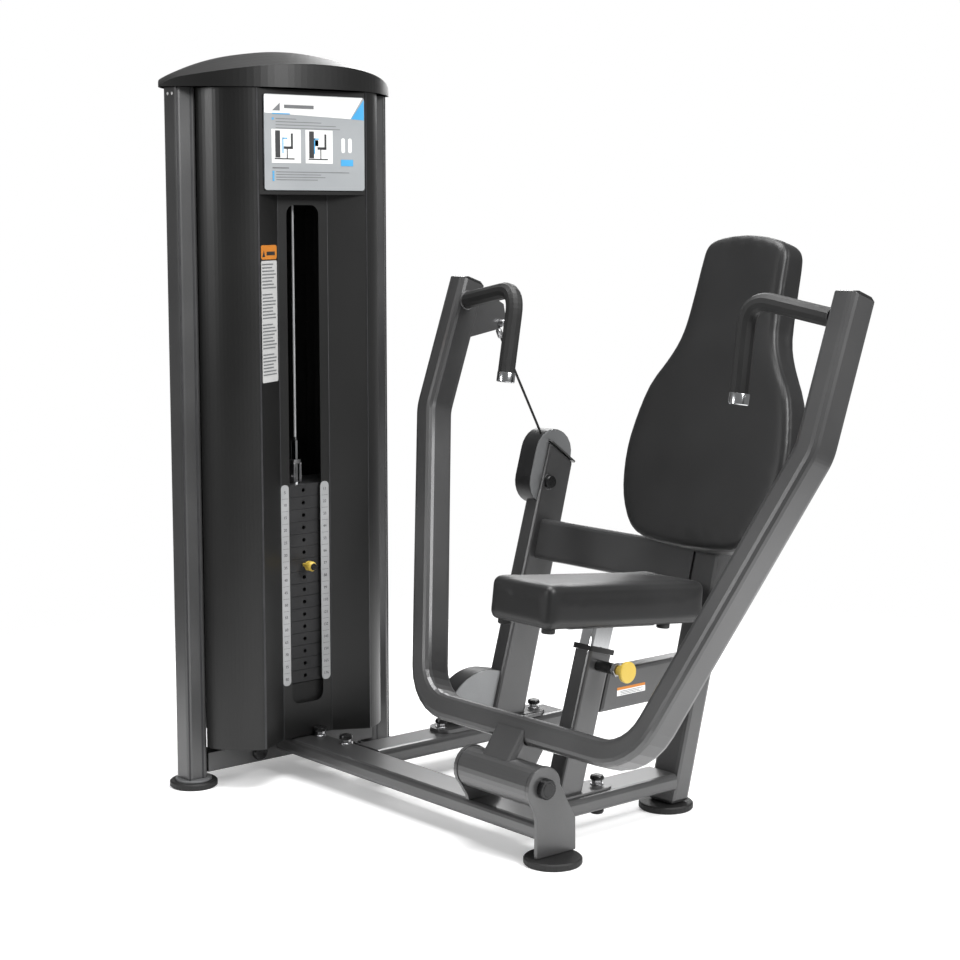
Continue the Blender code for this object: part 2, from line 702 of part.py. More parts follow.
def make_carrier_tube():
    bar = press_place(0.0, 0.2685, FRAME_DEPTH / 2)
    start = Vector((0.0, PIVOT_Y, PIVOT_Z))
    middle = (bar + start) / 2 - X_AXIS * 0.010
    carrier = prism("carrier_tube", [rounded_rectangle(0.098, 0.078, 0.012)], (bar - start).length,
                    frame_matrix(middle, X_AXIS, bar - start))
    cut(carrier, rod("carrier_saddle", start - X_AXIS * 0.1, start + X_AXIS * 0.1, PIVOT_TUBE_RADIUS + GAP, 28,
                     CUTTERS))
    clear = 0.0010
    seat = prism("carrier_top_cut", [rounded_rectangle(FRAME_DEPTH + 2 * clear, FRAME_WIDTH + 2 * clear,
                                                      0.010, 3)],
                 0.2, frame_matrix(bar, FRAME_BACK, X_AXIS), CUTTERS)
    cut(carrier, seat)
    above = bar + FRAME_UP * 0.050
    cut(carrier, prism("carrier_above_cut", [rounded_rectangle(0.12, 0.10, 0.001, 1)], 0.2,
                       frame_matrix(above, FRAME_BACK, X_AXIS), CUTTERS))
    finish_piece(carrier, "paint")


def eased_route(points, reach, steps):
    """Straight runs between the points, with each inner corner eased over the given reach."""
    points = [Vector(point) for point in points]
    route = [points[0]]
    for before, corner, after in zip(points, points[1:], points[2:]):
        start = corner + (before - corner).normalized() * reach
        end = corner + (after - corner).normalized() * reach
        for step in range(steps + 1):
            t = step / steps
            route.append(start * (1 - t) ** 2 + corner * (2 * t * (1 - t)) + end * t * t)
    return [*route, points[-1]]


def make_grips():
    corners = [(0.5618, 0.337, 1.158), (0.3595, 0.314, 1.193), (0.364, 0.283, 0.985)]
    for name, sign in (("grip_left", 1.0), ("grip_right", -1.0)):
        route = eased_route([(sign * x, y, z) for x, y, z in corners], 0.062, 10)
        finish_piece(tube_curve(name, route, 0.020, 4), "rubber")


def make_cable_fin():
    outline = [(0.3831, 1.142), (0.3547, 1.062), (0.452, 1.079), (0.474, 1.086), (0.486, 1.112),
               (0.480, 1.142), (0.462, 1.152)]
    fin = side_prism("cable_fin", outline, CROSS_X - 0.004, CROSS_X + 0.004)
    finish_piece(fin, "paint")


# ---------------------------------------------------------------- weight tower
def make_columns():
    for name, sign in (("tower_column_left", 1.0), ("tower_column_right", -1.0)):
        low, high = FOOT_HEIGHT + GAP, TOWER_TOP - GAP
        outer = rounded_rectangle(COLUMN_REACH, COLUMN_DEPTH, 0.010, 4)
        inner = rounded_rectangle(COLUMN_REACH - 0.006, COLUMN_DEPTH - 0.006, 0.007, 4)
        middle = Vector((TOWER_X + COLUMN_WIDTH / 2 - COLUMN_REACH / 2, sign * COLUMN_Y, (low + high) / 2))
        column = prism(name, [outer, inner], high - low, frame_matrix(middle, X_AXIS, Z_AXIS))
        finish_piece(column, "paint")


def make_tower_beams():
    reach = COLUMN_Y - COLUMN_DEPTH / 2 - GAP
    half = COLUMN_WIDTH / 2
    base = box("tower_base_beam", (TOWER_X - half, -reach, 0.033), (TOWER_X + half, reach, 0.079))
    cut(base, box("base_beam_notch", (TOWER_X - 0.04, -0.012, 0.062), (TOWER_X + 0.04, 0.012, 0.090), CUTTERS))
    finish_piece(base, "paint")
    top = box("tower_top_beam", (TOWER_X - half, -reach, 1.605), (TOWER_X + half, reach, TOWER_TOP - GAP))
    centre = Vector((top_pulley_x(), 0.0, TOP_PULLEY_Z))
    for side in (-1.0, 1.0):
        y_low, y_high = sorted((side * 0.0085, side * 0.0125))
        hanger = box("top_hanger_%d" % side, (centre.x - 0.018, y_low, centre.z - 0.018),
                     (centre.x + 0.018, y_high, 1.610), CUTTERS)
        join(top, hanger)
    axle = rod("top_pulley_axle", centre - Y_AXIS * 0.011, centre + Y_AXIS * 0.011, AXLE_RADIUS, 12, CUTTERS)
    join(top, axle)
    finish_piece(top, "paint")


def make_base_pulley_bracket():
    """Two cheeks behind the base beam, joined by the pulley's axle and a foot plate."""
    centre = Vector((TOWER_PULLEY_X, 0.0, CABLE_Z + TOWER_PULLEY_RADIUS))
    back = TOWER_X - COLUMN_WIDTH / 2 - GAP
    bracket = box("base_pulley_bracket", (TOWER_PULLEY_X - 0.030, -0.0135, 0.0335), (back, 0.0135, 0.0420))
    for side in (-1.0, 1.0):
        y_low, y_high = sorted((side * 0.0085, side * 0.0130))
        cheek = box("base_cheek_%d" % side, (centre.x - 0.015, y_low, 0.038), (centre.x + 0.015, y_high, 0.127),
                    CUTTERS)
        join(bracket, cheek)
    axle = rod("base_pulley_axle", centre - Y_AXIS * 0.011, centre + Y_AXIS * 0.011, AXLE_RADIUS, 12, CUTTERS)
    join(bracket, axle)
    finish_piece(bracket, "paint")


def make_front_shroud():
    corner_x, corner_y = -0.728, 0.155
    floor_x, floor_y = -0.7735, 0.072
    shift = SHROUD_WALL / 2
    edge, swell, corner = (TOWER_X + 0.0262, 0.2500), (-0.7580, 0.2370), (corner_x - shift, corner_y)
    bulge = []
    for step in range(17):
        t = step / 16
        bulge.append(tuple((1 - t) ** 2 * a + 2 * t * (1 - t) * b + t * t * c
                           for a, b, c in zip(edge, swell, corner)))
    half_path = [*bulge, (floor_x - shift, floor_y)]
    path = half_path + [(x, -y) for x, y in reversed(half_path)]
    height = TOWER_TOP - GAP - SHROUD_BOTTOM
    centre = Vector((0.0, 0.0, SHROUD_BOTTOM + height / 2))
    shroud = prism("front_shroud", [band(path, SHROUD_WALL)], height, Matrix.Translation(centre))
    slot_low, slot_high, slot_half = 0.178, 1.384, 0.0465
    outline = [(y, z + (slot_low + slot_high) / 2)
               for y, z in rounded_rectangle(2 * slot_half, slot_high - slot_low, 0.022, 6)]
    slot = side_prism("shroud_slot", outline, floor_x - 0.02, floor_x + 0.02, CUTTERS)
    cut(shroud, slot)
    finish_piece(shroud, "shroud")


def make_rear_shroud():
    edge_x = TOWER_X + COLUMN_WIDTH / 2 - COLUMN_REACH - 0.0015 - GAP
    path = [(edge_x - 0.118 * math.sin(math.pi * step / 32), 0.2560 * math.cos(math.pi * step / 32))
            for step in range(33)]
    height = TOWER_TOP - GAP - SHROUD_BOTTOM
    centre = Vector((0.0, 0.0, SHROUD_BOTTOM + height / 2))
    shroud = prism("rear_shroud", [band(path, SHROUD_WALL)], height, Matrix.Translation(centre))
    finish_piece(shroud, "shroud")


def cap_front(t):
    """Reach of the lens-shaped cap in front of its spine at y = t * CAP_HALF_Y."""
    return CAP_EDGE + (CAP_HALF_X - CAP_EDGE) * max(1.0 - abs(t) ** 2.6, 0.0)


def cap_rear(t):
    """Reach of the cap behind its spine."""
    return CAP_EDGE + (CAP_HALF_X - CAP_EDGE) * max(1.0 - abs(t) ** 2.4, 0.0) ** 0.8


def cap_top(s, t):
    """Top of the cap: an arch along y that falls from its spine to the front and back."""
    arch = CAP_SPINE_Z - 0.076 * t * t - 0.012 * (max(abs(t) - 0.90, 0.0) / 0.10) ** 2
    fall = (0.036 if s > 0 else 0.050) * (1.0 - t * t)
    return arch - fall * (max(abs(s) - 0.15, 0.0) / 0.85) ** 1.3


def make_tower_cap():
    mesh = bpy.data.meshes.new("tower_cap")
    shape = bmesh.new()
    bmesh.ops.create_grid(shape, x_segments=12, y_segments=60, size=1.0)
    for corner in shape.verts:
        s, t = corner.co.x, math.sin(corner.co.y * math.pi / 2)
        reach = cap_front(t) if s > 0 else cap_rear(t)
        corner.co = (TOWER_X + s * reach, t * CAP_HALF_Y, cap_top(s, t))
    rim = [edge for edge in shape.edges if edge.is_boundary]
    skirt = bmesh.ops.extrude_edge_only(shape, edges=rim)
    for item in skirt["geom"]:
        if isinstance(item, bmesh.types.BMVert):
            item.co.z = TOWER_TOP + GAP
    bmesh.ops.recalc_face_normals(shape, faces=shape.faces)
    shape.to_mesh(mesh)
    shape.free()
    cap = new_object("tower_cap", mesh)
    shell = cap.modifiers.new("wall", "SOLIDIFY")
    shell.thickness = 0.003
    shell.offset = -1.0
    finish_piece(cap, "shroud")


def make_placard():
    outline = rounded_rectangle(0.288, 0.219, 0.006, 2)
    centre = Vector((-0.7255, 0.004, 1.5275))
    plate = prism("placard", [outline], 0.0036, frame_matrix(centre, Y_AXIS, X_AXIS))
    finish_piece(plate, "card")


# ---------------------------------------------------------------- weight stack
def plate_outline(low_y, high_y):
    return rounded_rectangle(2 * STACK_HALF_X, high_y - low_y, 0.006, 2)


def stack_block(name, low, high, levels):
    """One plate, or a pile of plates that stay down, with its rod, stem and pin holes."""
    holes = [circle((0.0, side * ROD_Y), ROD_RADIUS + 0.0022, 12) for side in (-1.0, 1.0)]
    holes.append(circle((STEM_X - STACK_X, 0.0), STEM_RADIUS + 0.0018, 12))
    middle = Vector((STACK_X, 0.0, (low + high) / 2))
    block = prism(name, [plate_outline(-STACK_HALF_Y, STACK_HALF_Y), *holes], high - low,
                  frame_matrix(middle, X_AXIS, Z_AXIS))
    for level in levels:
        z = level_centre(level)
        front = STACK_X + STACK_HALF_X
        hole = rod("%s_pin_hole_%d" % (name, level), (STEM_X, 0.0, z), (front + 0.01, 0.0, z),
                   PIN_HOLE_RADIUS, 8, CUTTERS)
        cut(block, hole)
    return block


def level_centre(level):
    """Height of a plate's middle; level 0 is the head plate."""
    return STACK_BOTTOM + PLATE_PITCH * (PLATE_COUNT - level - 0.5)


def make_stack():
    half = PLATE_PITCH / 2 - 0.00035
    for level in range(LIFTED_COUNT + 1):
        name = "head_plate" if level == 0 else "lifted_plate_%d" % level
        middle = level_centre(level)
        finish_piece(stack_block(name, middle - half, middle + half, [level]), "plate")
    first = LIFTED_COUNT + 1
    low = level_centre(PLATE_COUNT - 1) - half
    resting = stack_block("resting_plates", low, level_centre(first) + half, range(first, PLATE_COUNT))
    for level in range(first, PLATE_COUNT - 1):
        groove_z = level_centre(level) - PLATE_PITCH / 2
        front = STACK_X + STACK_HALF_X
        groove = box("stack_groove_%d" % level, (front - 0.0015, -STACK_HALF_Y - 0.01, groove_z - 0.0008),
                     (front + 0.010, STACK_HALF_Y + 0.01, groove_z + 0.0008), CUTTERS)
        cut(resting, groove)
    finish_piece(resting, "plate")


def make_selector():
    low = level_centre(PLATE_COUNT - 1) - 0.006
    stem = rod("selector_stem", (STEM_X, 0.0, low), (STEM_X, 0.0, 0.820 - GAP), STEM_RADIUS, 12)
    for level in range(PLATE_COUNT):
        z = level_centre(level)
        cut(stem, rod("stem_hole_%d" % level, (STEM_X - 0.02, 0.0, z), (STEM_X + 0.02, 0.0, z),
                      PIN_HOLE_RADIUS, 8, CUTTERS))
    finish_piece(stem, "chrome")
    z = level_centre(LIFTED_COUNT)
    profile = [(0.0, 0.0860), (0.009, 0.0850), (0.012, 0.0800), (0.012, 0.0640), (0.008, 0.0585),
               (0.0043, 0.0585), (0.0043, 0.0050), (0.0, 0.0050)]
    pin = turned("selector_pin", profile, (STEM_X - 0.014, 0.0, z), X_AXIS, 16)
    finish_piece(pin, "gold")


def make_guide_rods():
    for name, sign in (("guide_rod_left", 1.0), ("guide_rod_right", -1.0)):
        guide = rod(name, (STACK_X, sign * ROD_Y, 0.0793), (STACK_X, sign * ROD_Y, 1.6047), ROD_RADIUS, 12)
        finish_piece(guide, "chrome")


def make_bumper():
    bumper = box("stack_bumper", (-0.8885, -0.060, RAIL_TOP + GAP), (-0.790, 0.060, STACK_BOTTOM - 0.0003))
    cut(bumper, rod("bumper_bore", (STEM_X, 0.0, 0.150), (STEM_X, 0.0, 0.240), STEM_RADIUS + 0.002, 12, CUTTERS))
    round_edges(bumper, 0.004, 1)
    finish_piece(bumper, "rubber")


# ---------------------------------------------------------------- pulleys and cables
def top_pulley_x():
    return (STEM_X + TOWER_PULLEY_X - TOWER_PULLEY_RADIUS) / 2


def make_pulley(name, centre, axis, wrap, bore=BORE_RADIUS):
    """A grooved wheel; wrap is the radius of the cable's centre line round it."""
    groove = wrap - CABLE_RADIUS - 0.0006
    rim = wrap + 0.0035
    profile = [(bore, PULLEY_HALF), (rim, PULLEY_HALF), (rim, PULLEY_HALF - 0.001), (groove, 0.0032),
               (groove, -0.0032), (rim, -PULLEY_HALF + 0.001), (rim, -PULLEY_HALF), (bore, -PULLEY_HALF)]
    finish_piece(turned(name, profile, centre, axis, 24), "nylon")


def make_pulleys():
    make_pulley("mast_pulley", (CROSS_X, *MAST_PULLEY), X_AXIS, WRAP_RADIUS)
    make_pulley("foot_pulley", (CROSS_X, *FOOT_PULLEY), X_AXIS, WRAP_RADIUS)
    make_pulley("turn_pulley", (*TURN_CENTRE, CABLE_Z), Z_AXIS, TURN_RADIUS)
    make_pulley("tower_base_pulley", (TOWER_PULLEY_X, 0.0, CABLE_Z + TOWER_PULLEY_RADIUS), Y_AXIS,
                TOWER_PULLEY_RADIUS)
    make_pulley("tower_top_pulley", (top_pulley_x(), 0.0, TOP_PULLEY_Z), Y_AXIS, STEM_X - top_pulley_x())


def tangent(centre, radius, point, side):
    """Where a line from point touches a circle, on the given side."""
    offset = Vector(point) - Vector(centre)
    reach = math.acos(radius / offset.length)
    heading = math.atan2(offset.y, offset.x) + side * reach
    return math.degrees(heading)




def make_cables():
    arrive = tangent(MAST_PULLEY, WRAP_RADIUS, CABLE_END, -1.0)
    start = arc(MAST_PULLEY, WRAP_RADIUS, arrive, arrive, 1)[0]
    direction = (Vector(start) - Vector(CABLE_END)).normalized()
    stop = Vector(start) - direction * 2 * GAP
    arm = tube_curve("arm_cable", [(CROSS_X, *CABLE_END), (CROSS_X, *stop)], CABLE_RADIUS, 2)
    finish_piece(arm, "nylon")
    run = Vector(FOOT_PULLEY) - Vector(MAST_PULLEY)
    rear = math.degrees(math.atan2(run.y, run.x)) + 90.0
    leave = tangent(FOOT_PULLEY, WRAP_RADIUS, GUIDE_PIN, 1.0) % 360.0
    route = [(CROSS_X, *place) for place in arc(MAST_PULLEY, WRAP_RADIUS, arrive, rear, 6)]
    route += [(CROSS_X, *place) for place in arc(FOOT_PULLEY, WRAP_RADIUS, rear + 360.0, leave, 10)]
    route.append((CROSS_X, *GUIDE_PIN))
    route += [(*place, CABLE_Z) for place in arc(TURN_CENTRE, TURN_RADIUS, 0.0, -90.0, 8)]
    base_centre = (TOWER_PULLEY_X, CABLE_Z + TOWER_PULLEY_RADIUS)
    route += [(x, 0.0, z) for x, z in arc(base_centre, TOWER_PULLEY_RADIUS, 270.0, 180.0, 8)]
    top_centre = (top_pulley_x(), TOP_PULLEY_Z)
    route += [(x, 0.0, z) for x, z in arc(top_centre, STEM_X - top_pulley_x(), 180.0, 0.0, 16)]
    drive = tube_curve("drive_cable", route, CABLE_RADIUS, 2)
    finish_piece(drive, "nylon")
    stack = tube_curve("stack_cable", [(STEM_X, 0.0, TOP_PULLEY_Z - 2 * GAP), (STEM_X, 0.0, 0.820)],
                       CABLE_RADIUS, 2)
    finish_piece(stack, "nylon")


# ---------------------------------------------------------------- assembly
def build_machine():
    make_base_rail()
    make_cross_rail()
    make_seat_rail()
    make_foot("front_foot_pad", 0.127, -0.012, BASE_FOOT_RADIUS)
    make_foot("rear_foot_pad", 0.0, 0.460, BASE_FOOT_RADIUS)
    make_foot("tower_foot_left", TOWER_X, COLUMN_Y - 0.001, FOOT_RADIUS)
    make_foot("tower_foot_right", TOWER_X, -COLUMN_Y + 0.001, FOOT_RADIUS)
    make_rear_upright()
    make_pivot_plates()
    make_pivot_shaft()
    make_mast()
    make_guards()
    make_cross_tubes()
    make_seat_sleeve()
    make_seat_post()
    make_seat()
    make_pop_pin()
    make_back_pad()
    make_pad_bracket()
    make_press_frame()
    make_pivot_tube()
    make_carrier_tube()
    make_grips()
    make_cable_fin()
    make_columns()
    make_tower_beams()
    make_base_pulley_bracket()
    make_front_shroud()
    make_rear_shroud()
    make_tower_cap()
    make_placard()
    make_stack()
    make_selector()
    make_guide_rods()
    make_bumper()
    make_pulleys()
    make_cables()


build_machine()
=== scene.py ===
import math

import bmesh
import bpy
import numpy as np
from mathutils import Matrix, Vector


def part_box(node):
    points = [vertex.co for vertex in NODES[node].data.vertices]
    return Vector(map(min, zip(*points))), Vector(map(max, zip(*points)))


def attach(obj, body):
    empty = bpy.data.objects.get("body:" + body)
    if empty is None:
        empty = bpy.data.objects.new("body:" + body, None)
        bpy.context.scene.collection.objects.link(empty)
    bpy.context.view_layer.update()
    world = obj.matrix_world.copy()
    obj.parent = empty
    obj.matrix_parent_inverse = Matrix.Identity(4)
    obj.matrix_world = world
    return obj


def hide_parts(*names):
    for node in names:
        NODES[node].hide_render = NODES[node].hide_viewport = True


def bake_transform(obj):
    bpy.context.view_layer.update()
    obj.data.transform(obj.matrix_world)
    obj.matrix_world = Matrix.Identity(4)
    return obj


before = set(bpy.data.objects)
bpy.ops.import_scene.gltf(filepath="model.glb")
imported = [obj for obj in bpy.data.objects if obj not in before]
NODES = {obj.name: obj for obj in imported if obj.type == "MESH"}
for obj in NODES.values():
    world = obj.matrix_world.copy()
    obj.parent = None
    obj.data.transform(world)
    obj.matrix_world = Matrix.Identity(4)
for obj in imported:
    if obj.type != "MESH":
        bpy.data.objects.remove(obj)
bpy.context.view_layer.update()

ORIGIN = Vector((0.20265, -0.2302, 0.0))     # on the floor, below the middle of the seat's front edge
X, Y, Z = Vector((1, 0, 0)), Vector((0, 1, 0)), Vector((0, 0, 1))
MAST_X = -0.6000                             # centre plane of the mast and its cable
STEM_X = -0.8150                             # centre line of the selector stem
COLUMN_FACE_X = -0.8395                      # front face of the tower's columns
EDGE_X, EDGE_Y = -0.7280, 0.1550             # fold where the shroud turns inwards
SLOT_X, SLOT_Y = -0.7735, 0.0720             # flat centre strip of the shroud, and its half width
RAIL_TOP = 0.0923                            # height of the rails' upper faces
FRAME_SLOPE = 0.355                          # lean of the press frame
PAD_SLOPE = 0.287                            # lean of the back pad
SIDES = (("left", 1.0), ("right", -1.0))
SHARP_ANGLE = 35.0                           # degrees between faces, above which an edge counts as sharp


def at(x, y, z):
    """A point given from the machine's own origin, in the row frame."""
    return ORIGIN + Vector((x, y, z))


# ---------------------------------------------------------------- materials
def shader(name):
    material = bpy.data.materials.new(name)
    material.use_nodes = True
    return material, material.node_tree.nodes, material.node_tree.links


def noise_at(nodes, links, scale, detail=2.0, stretch=(1, 1, 1)):
    coords = nodes.new("ShaderNodeTexCoord")
    mapping = nodes.new("ShaderNodeMapping")
    mapping.inputs["Scale"].default_value = stretch
    texture = nodes.new("ShaderNodeTexNoise")
    texture.inputs["Scale"].default_value = scale
    texture.inputs["Detail"].default_value = detail
    links.new(coords.outputs["Object"], mapping.inputs["Vector"])
    links.new(mapping.outputs["Vector"], texture.inputs["Vector"])
    return texture


def finish(name, dark, light, rough, mottle=6.0, grain=900.0, bump=0.1, depth=0.0004, metallic=0.0,
           coat=0.0, sheen=0.0, cells=False, stretch=(1, 1, 1), speck=0.25):
    """A surface with slow colour drift, fine speckle, varied gloss and a fine relief."""
    material, nodes, links = shader(name)
    body = nodes["Principled BSDF"]
    body.inputs["Metallic"].default_value = metallic
    body.inputs["Coat Weight"].default_value = coat
    body.inputs["Coat Roughness"].default_value = 0.18
    body.inputs["Sheen Weight"].default_value = sheen
    slow = noise_at(nodes, links, mottle, 4.0, stretch)
    fine = noise_at(nodes, links, grain, 2.0, stretch)
    blend = nodes.new("ShaderNodeMix")
    blend.data_type = "FLOAT"
    blend.inputs["Factor"].default_value = speck
    links.new(slow.outputs["Fac"], blend.inputs["A"])
    links.new(fine.outputs["Fac"], blend.inputs["B"])
    ramp = nodes.new("ShaderNodeValToRGB")
    ramp.color_ramp.elements[0].position = 0.32
    ramp.color_ramp.elements[0].color = (*dark, 1)
    ramp.color_ramp.elements[1].position = 0.68
    ramp.color_ramp.elements[1].color = (*light, 1)
    links.new(blend.outputs["Result"], ramp.inputs["Fac"])
    links.new(ramp.outputs["Color"], body.inputs["Base Color"])
    gloss = nodes.new("ShaderNodeMapRange")
    gloss.inputs["From Min"].default_value = 0.3
    gloss.inputs["From Max"].default_value = 0.7
    gloss.inputs["To Min"].default_value = rough[0]
    gloss.inputs["To Max"].default_value = rough[1]
    links.new(blend.outputs["Result"], gloss.inputs["Value"])
    links.new(gloss.outputs["Result"], body.inputs["Roughness"])
    relief = nodes.new("ShaderNodeBump")
    relief.inputs["Strength"].default_value = bump
    relief.inputs["Distance"].default_value = depth
    if cells:
        pattern = nodes.new("ShaderNodeTexVoronoi")
        pattern.feature = "SMOOTH_F1"
        pattern.inputs["Scale"].default_value = grain
        coords = nodes.new("ShaderNodeTexCoord")
        links.new(coords.outputs["Object"], pattern.inputs["Vector"])
        links.new(pattern.outputs["Distance"], relief.inputs["Height"])
    else:
        links.new(fine.outputs["Fac"], relief.inputs["Height"])
    links.new(relief.outputs["Normal"], body.inputs["Normal"])
    return material


PAINT = finish("charcoal_paint", (0.080, 0.080, 0.081), (0.112, 0.112, 0.113), (0.30, 0.40), 5.0, 1400.0,
               0.12, 0.0002, metallic=0.60, coat=0.35, speck=0.45)
PALE_PAINT = finish("pale_steel_plate", (0.24, 0.245, 0.25), (0.32, 0.325, 0.33), (0.34, 0.46), 6.0, 1200.0,
                    0.12, 0.0002, metallic=0.6, speck=0.4)
SHROUD = finish("satin_black_shroud", (0.0050, 0.0050, 0.0050), (0.0085, 0.0085, 0.0083), (0.34, 0.42), 3.0,
                1100.0, 0.18, 0.0002, speck=0.4)
VINYL = finish("black_vinyl", (0.0045, 0.0045, 0.0047), (0.0078, 0.0078, 0.0081), (0.40, 0.50), 7.0, 620.0,
               0.30, 0.0005, cells=True, speck=0.3, sheen=0.03)
RUBBER = finish("black_rubber", (0.0065, 0.0065, 0.0065), (0.0120, 0.0120, 0.0120), (0.50, 0.68), 20.0,
                900.0, 0.35, 0.0004, speck=0.5)
NYLON = finish("black_nylon", (0.0075, 0.0075, 0.0080), (0.0130, 0.0130, 0.0135), (0.34, 0.46), 30.0,
               1500.0, 0.15, 0.0002, speck=0.4)
GLOSS_BLACK = finish("black_oxide_bolt", (0.0080, 0.0080, 0.0085), (0.0170, 0.0170, 0.0175), (0.22, 0.36),
                     40.0, 1600.0, 0.15, 0.0002, metallic=0.3, speck=0.4)
COLLAR = finish("satin_chrome", (0.50, 0.51, 0.52), (0.66, 0.67, 0.68), (0.16, 0.24), 11.0, 700.0, 0.06,
                0.0001, metallic=1.0, speck=0.3)
CHROME = finish("chrome_plate", (0.72, 0.73, 0.74), (0.84, 0.85, 0.86), (0.05, 0.12), 9.0, 500.0, 0.04,
                0.0001, metallic=1.0, speck=0.3, stretch=(1, 1, 0.05))
BRIGHT = finish("bright_steel", (0.42, 0.42, 0.43), (0.60, 0.60, 0.61), (0.22, 0.34), 14.0, 900.0, 0.10,
                0.0002, metallic=1.0, speck=0.4)
IRON = finish("stack_plate_iron", (0.018, 0.018, 0.019), (0.034, 0.034, 0.035), (0.42, 0.58), 12.0, 700.0,
              0.35, 0.0004, metallic=0.4, speck=0.5)
GOLD = finish("yellow_knob", (0.58, 0.40, 0.055), (0.68, 0.49, 0.085), (0.30, 0.42), 18.0, 1100.0, 0.12,
              0.0002, speck=0.4, coat=0.2)
SILVER = finish("silver_strip", (0.36, 0.365, 0.37), (0.45, 0.455, 0.46), (0.34, 0.46), 20.0, 900.0, 0.06,
                0.0001, metallic=0.3, speck=0.4)
CARD_GREY = finish("card_grey", (0.29, 0.305, 0.315), (0.34, 0.355, 0.365), (0.40, 0.52), 9.0, 900.0, 0.05,
                   0.0001, speck=0.3)
CARD_WHITE = finish("card_white", (0.78, 0.78, 0.77), (0.86, 0.86, 0.85), (0.38, 0.50), 9.0, 900.0, 0.05,
                    0.0001, speck=0.3)
CARD_PALE = finish("card_pale", (0.44, 0.44, 0.435), (0.52, 0.52, 0.515), (0.38, 0.50), 9.0, 900.0, 0.05,
                   0.0001, speck=0.3)
CARD_BLUE = finish("card_blue", (0.045, 0.30, 0.58), (0.065, 0.36, 0.66), (0.38, 0.50), 9.0, 900.0, 0.05,
                   0.0001, speck=0.3)
# Dark ink for print, also used as painted shade in the columns' grooves and along the shroud's seam and fold.
INK_AND_PAINTED_SHADE = finish("dark_ink_and_painted_shade", (0.020, 0.020, 0.022), (0.034, 0.034, 0.036), (0.40, 0.52), 30.0, 900.0, 0.05,
             0.0001, speck=0.3)
GREY_INK = finish("grey_ink", (0.13, 0.135, 0.14), (0.18, 0.185, 0.19), (0.42, 0.54), 30.0, 900.0, 0.05,
                  0.0001, speck=0.3)
ORANGE = finish("orange_band", (0.50, 0.17, 0.022), (0.60, 0.22, 0.034), (0.40, 0.52), 16.0, 900.0, 0.06,
                0.0001, speck=0.3)

CABLE = finish("coated_cable", (0.0070, 0.0070, 0.0075), (0.0130, 0.0130, 0.0135), (0.26, 0.36), 30.0,
               700.0, 0.35, 0.0003, speck=0.4)

MATERIAL_OF = {
    "cable_fin": PAINT, "placard": CARD_GREY,
    "front_shroud": SHROUD, "rear_shroud": SHROUD, "tower_cap": SHROUD,
    "resting_plates": IRON, "head_plate": IRON, "stack_bumper": RUBBER, "selector_stem": CHROME,
    "selector_pin": GOLD, "pop_pin_knob": GOLD, "seat_post": CHROME,
    "pivot_shaft": GLOSS_BLACK, "guide_rod_left": CHROME, "guide_rod_right": CHROME, "grip_left": RUBBER,
    "grip_right": RUBBER, "front_foot_pad": RUBBER, "rear_foot_pad": RUBBER, "tower_foot_left": RUBBER,
    "tower_foot_right": RUBBER, "drive_cable": NYLON, "arm_cable": NYLON, "stack_cable": NYLON,
    "mast_pulley_guard": PALE_PAINT, "foot_pulley_guard": PALE_PAINT, "mast_pulley": NYLON,
    "foot_pulley": NYLON, "turn_pulley": NYLON, "tower_base_pulley": NYLON, "tower_top_pulley": NYLON,
    "pop_pin_barrel": GLOSS_BLACK, "seat_pad": VINYL, "back_pad": VINYL,
}
for node_name, node in NODES.items():
    chosen = IRON if node_name.startswith("lifted_plate") else MATERIAL_OF.get(node_name, PAINT)
    for material_slot in node.material_slots:
        material_slot.material = chosen


# ---------------------------------------------------------------- shapes
def basis(origin, side, out):
    """Local X along side, local Z along out, at the origin."""
    z = out.normalized()
    x = (side - z * side.dot(z)).normalized()
    y = z.cross(x)
    rows = [(x[k], y[k], z[k], origin[k]) for k in range(3)]
    return Matrix((*rows, (0, 0, 0, 1)))


def rounded(width, height, radius, steps=4):
    """The outline of a rectangle with round corners, about its middle."""
    corners = ((1, 1, 0), (-1, 1, 90), (-1, -1, 180), (1, -1, 270))
    points = []
    for sx, sy, start in corners:
        for step in range(steps + 1):
            angle = math.radians(start + 90.0 * step / steps)
            points.append((sx * (width / 2 - radius) + radius * math.cos(angle),
                           sy * (height / 2 - radius) + radius * math.sin(angle)))
    return points


def slab(shape, outline, low, high, place):
    """Adds a closed plate with the given outline between two local heights."""
    rings = [[shape.verts.new(place @ Vector((x, y, h))) for x, y in outline] for h in (low, high)]
    shape.faces.new(list(reversed(rings[0])))
    shape.faces.new(rings[1])
    for index in range(len(outline)):
        after = (index + 1) % len(outline)
        shape.faces.new((rings[0][index], rings[0][after], rings[1][after], rings[1][index]))


def lathe(shape, profile, place, steps=24):
    """Adds a closed turned form; the profile's (radius, height) pairs start and end on the axis."""
    rings = []
    for radius, height in profile:
        if radius < 1e-7:
            rings.append([shape.verts.new(place @ Vector((0, 0, height)))])
        else:
            turns = (2 * math.pi * k / steps for k in range(steps))
            circle = [(radius * math.cos(turn), radius * math.sin(turn)) for turn in turns]
            rings.append([shape.verts.new(place @ Vector((x, y, height))) for x, y in circle])
    for first, second in zip(rings, rings[1:]):
        for k in range(steps):
            after = (k + 1) % steps
            corners = [first[k % len(first)], first[after % len(first)],
                       second[after % len(second)], second[k % len(second)]]
            distinct = [v for i, v in enumerate(corners) if v not in corners[:i]]
            if len(distinct) > 2:
                shape.faces.new(distinct)


def loft(shape, rings, capped=True):
    """Joins equal rings of points with quads; capped also closes both ends."""
    for first, second in zip(rings, rings[1:]):
        for k in range(len(first)):
            after = (k + 1) % len(first)
            shape.faces.new((first[k], first[after], second[after], second[k]))
    if capped:
        shape.faces.new(list(reversed(rings[0])))
        shape.faces.new(rings[-1])


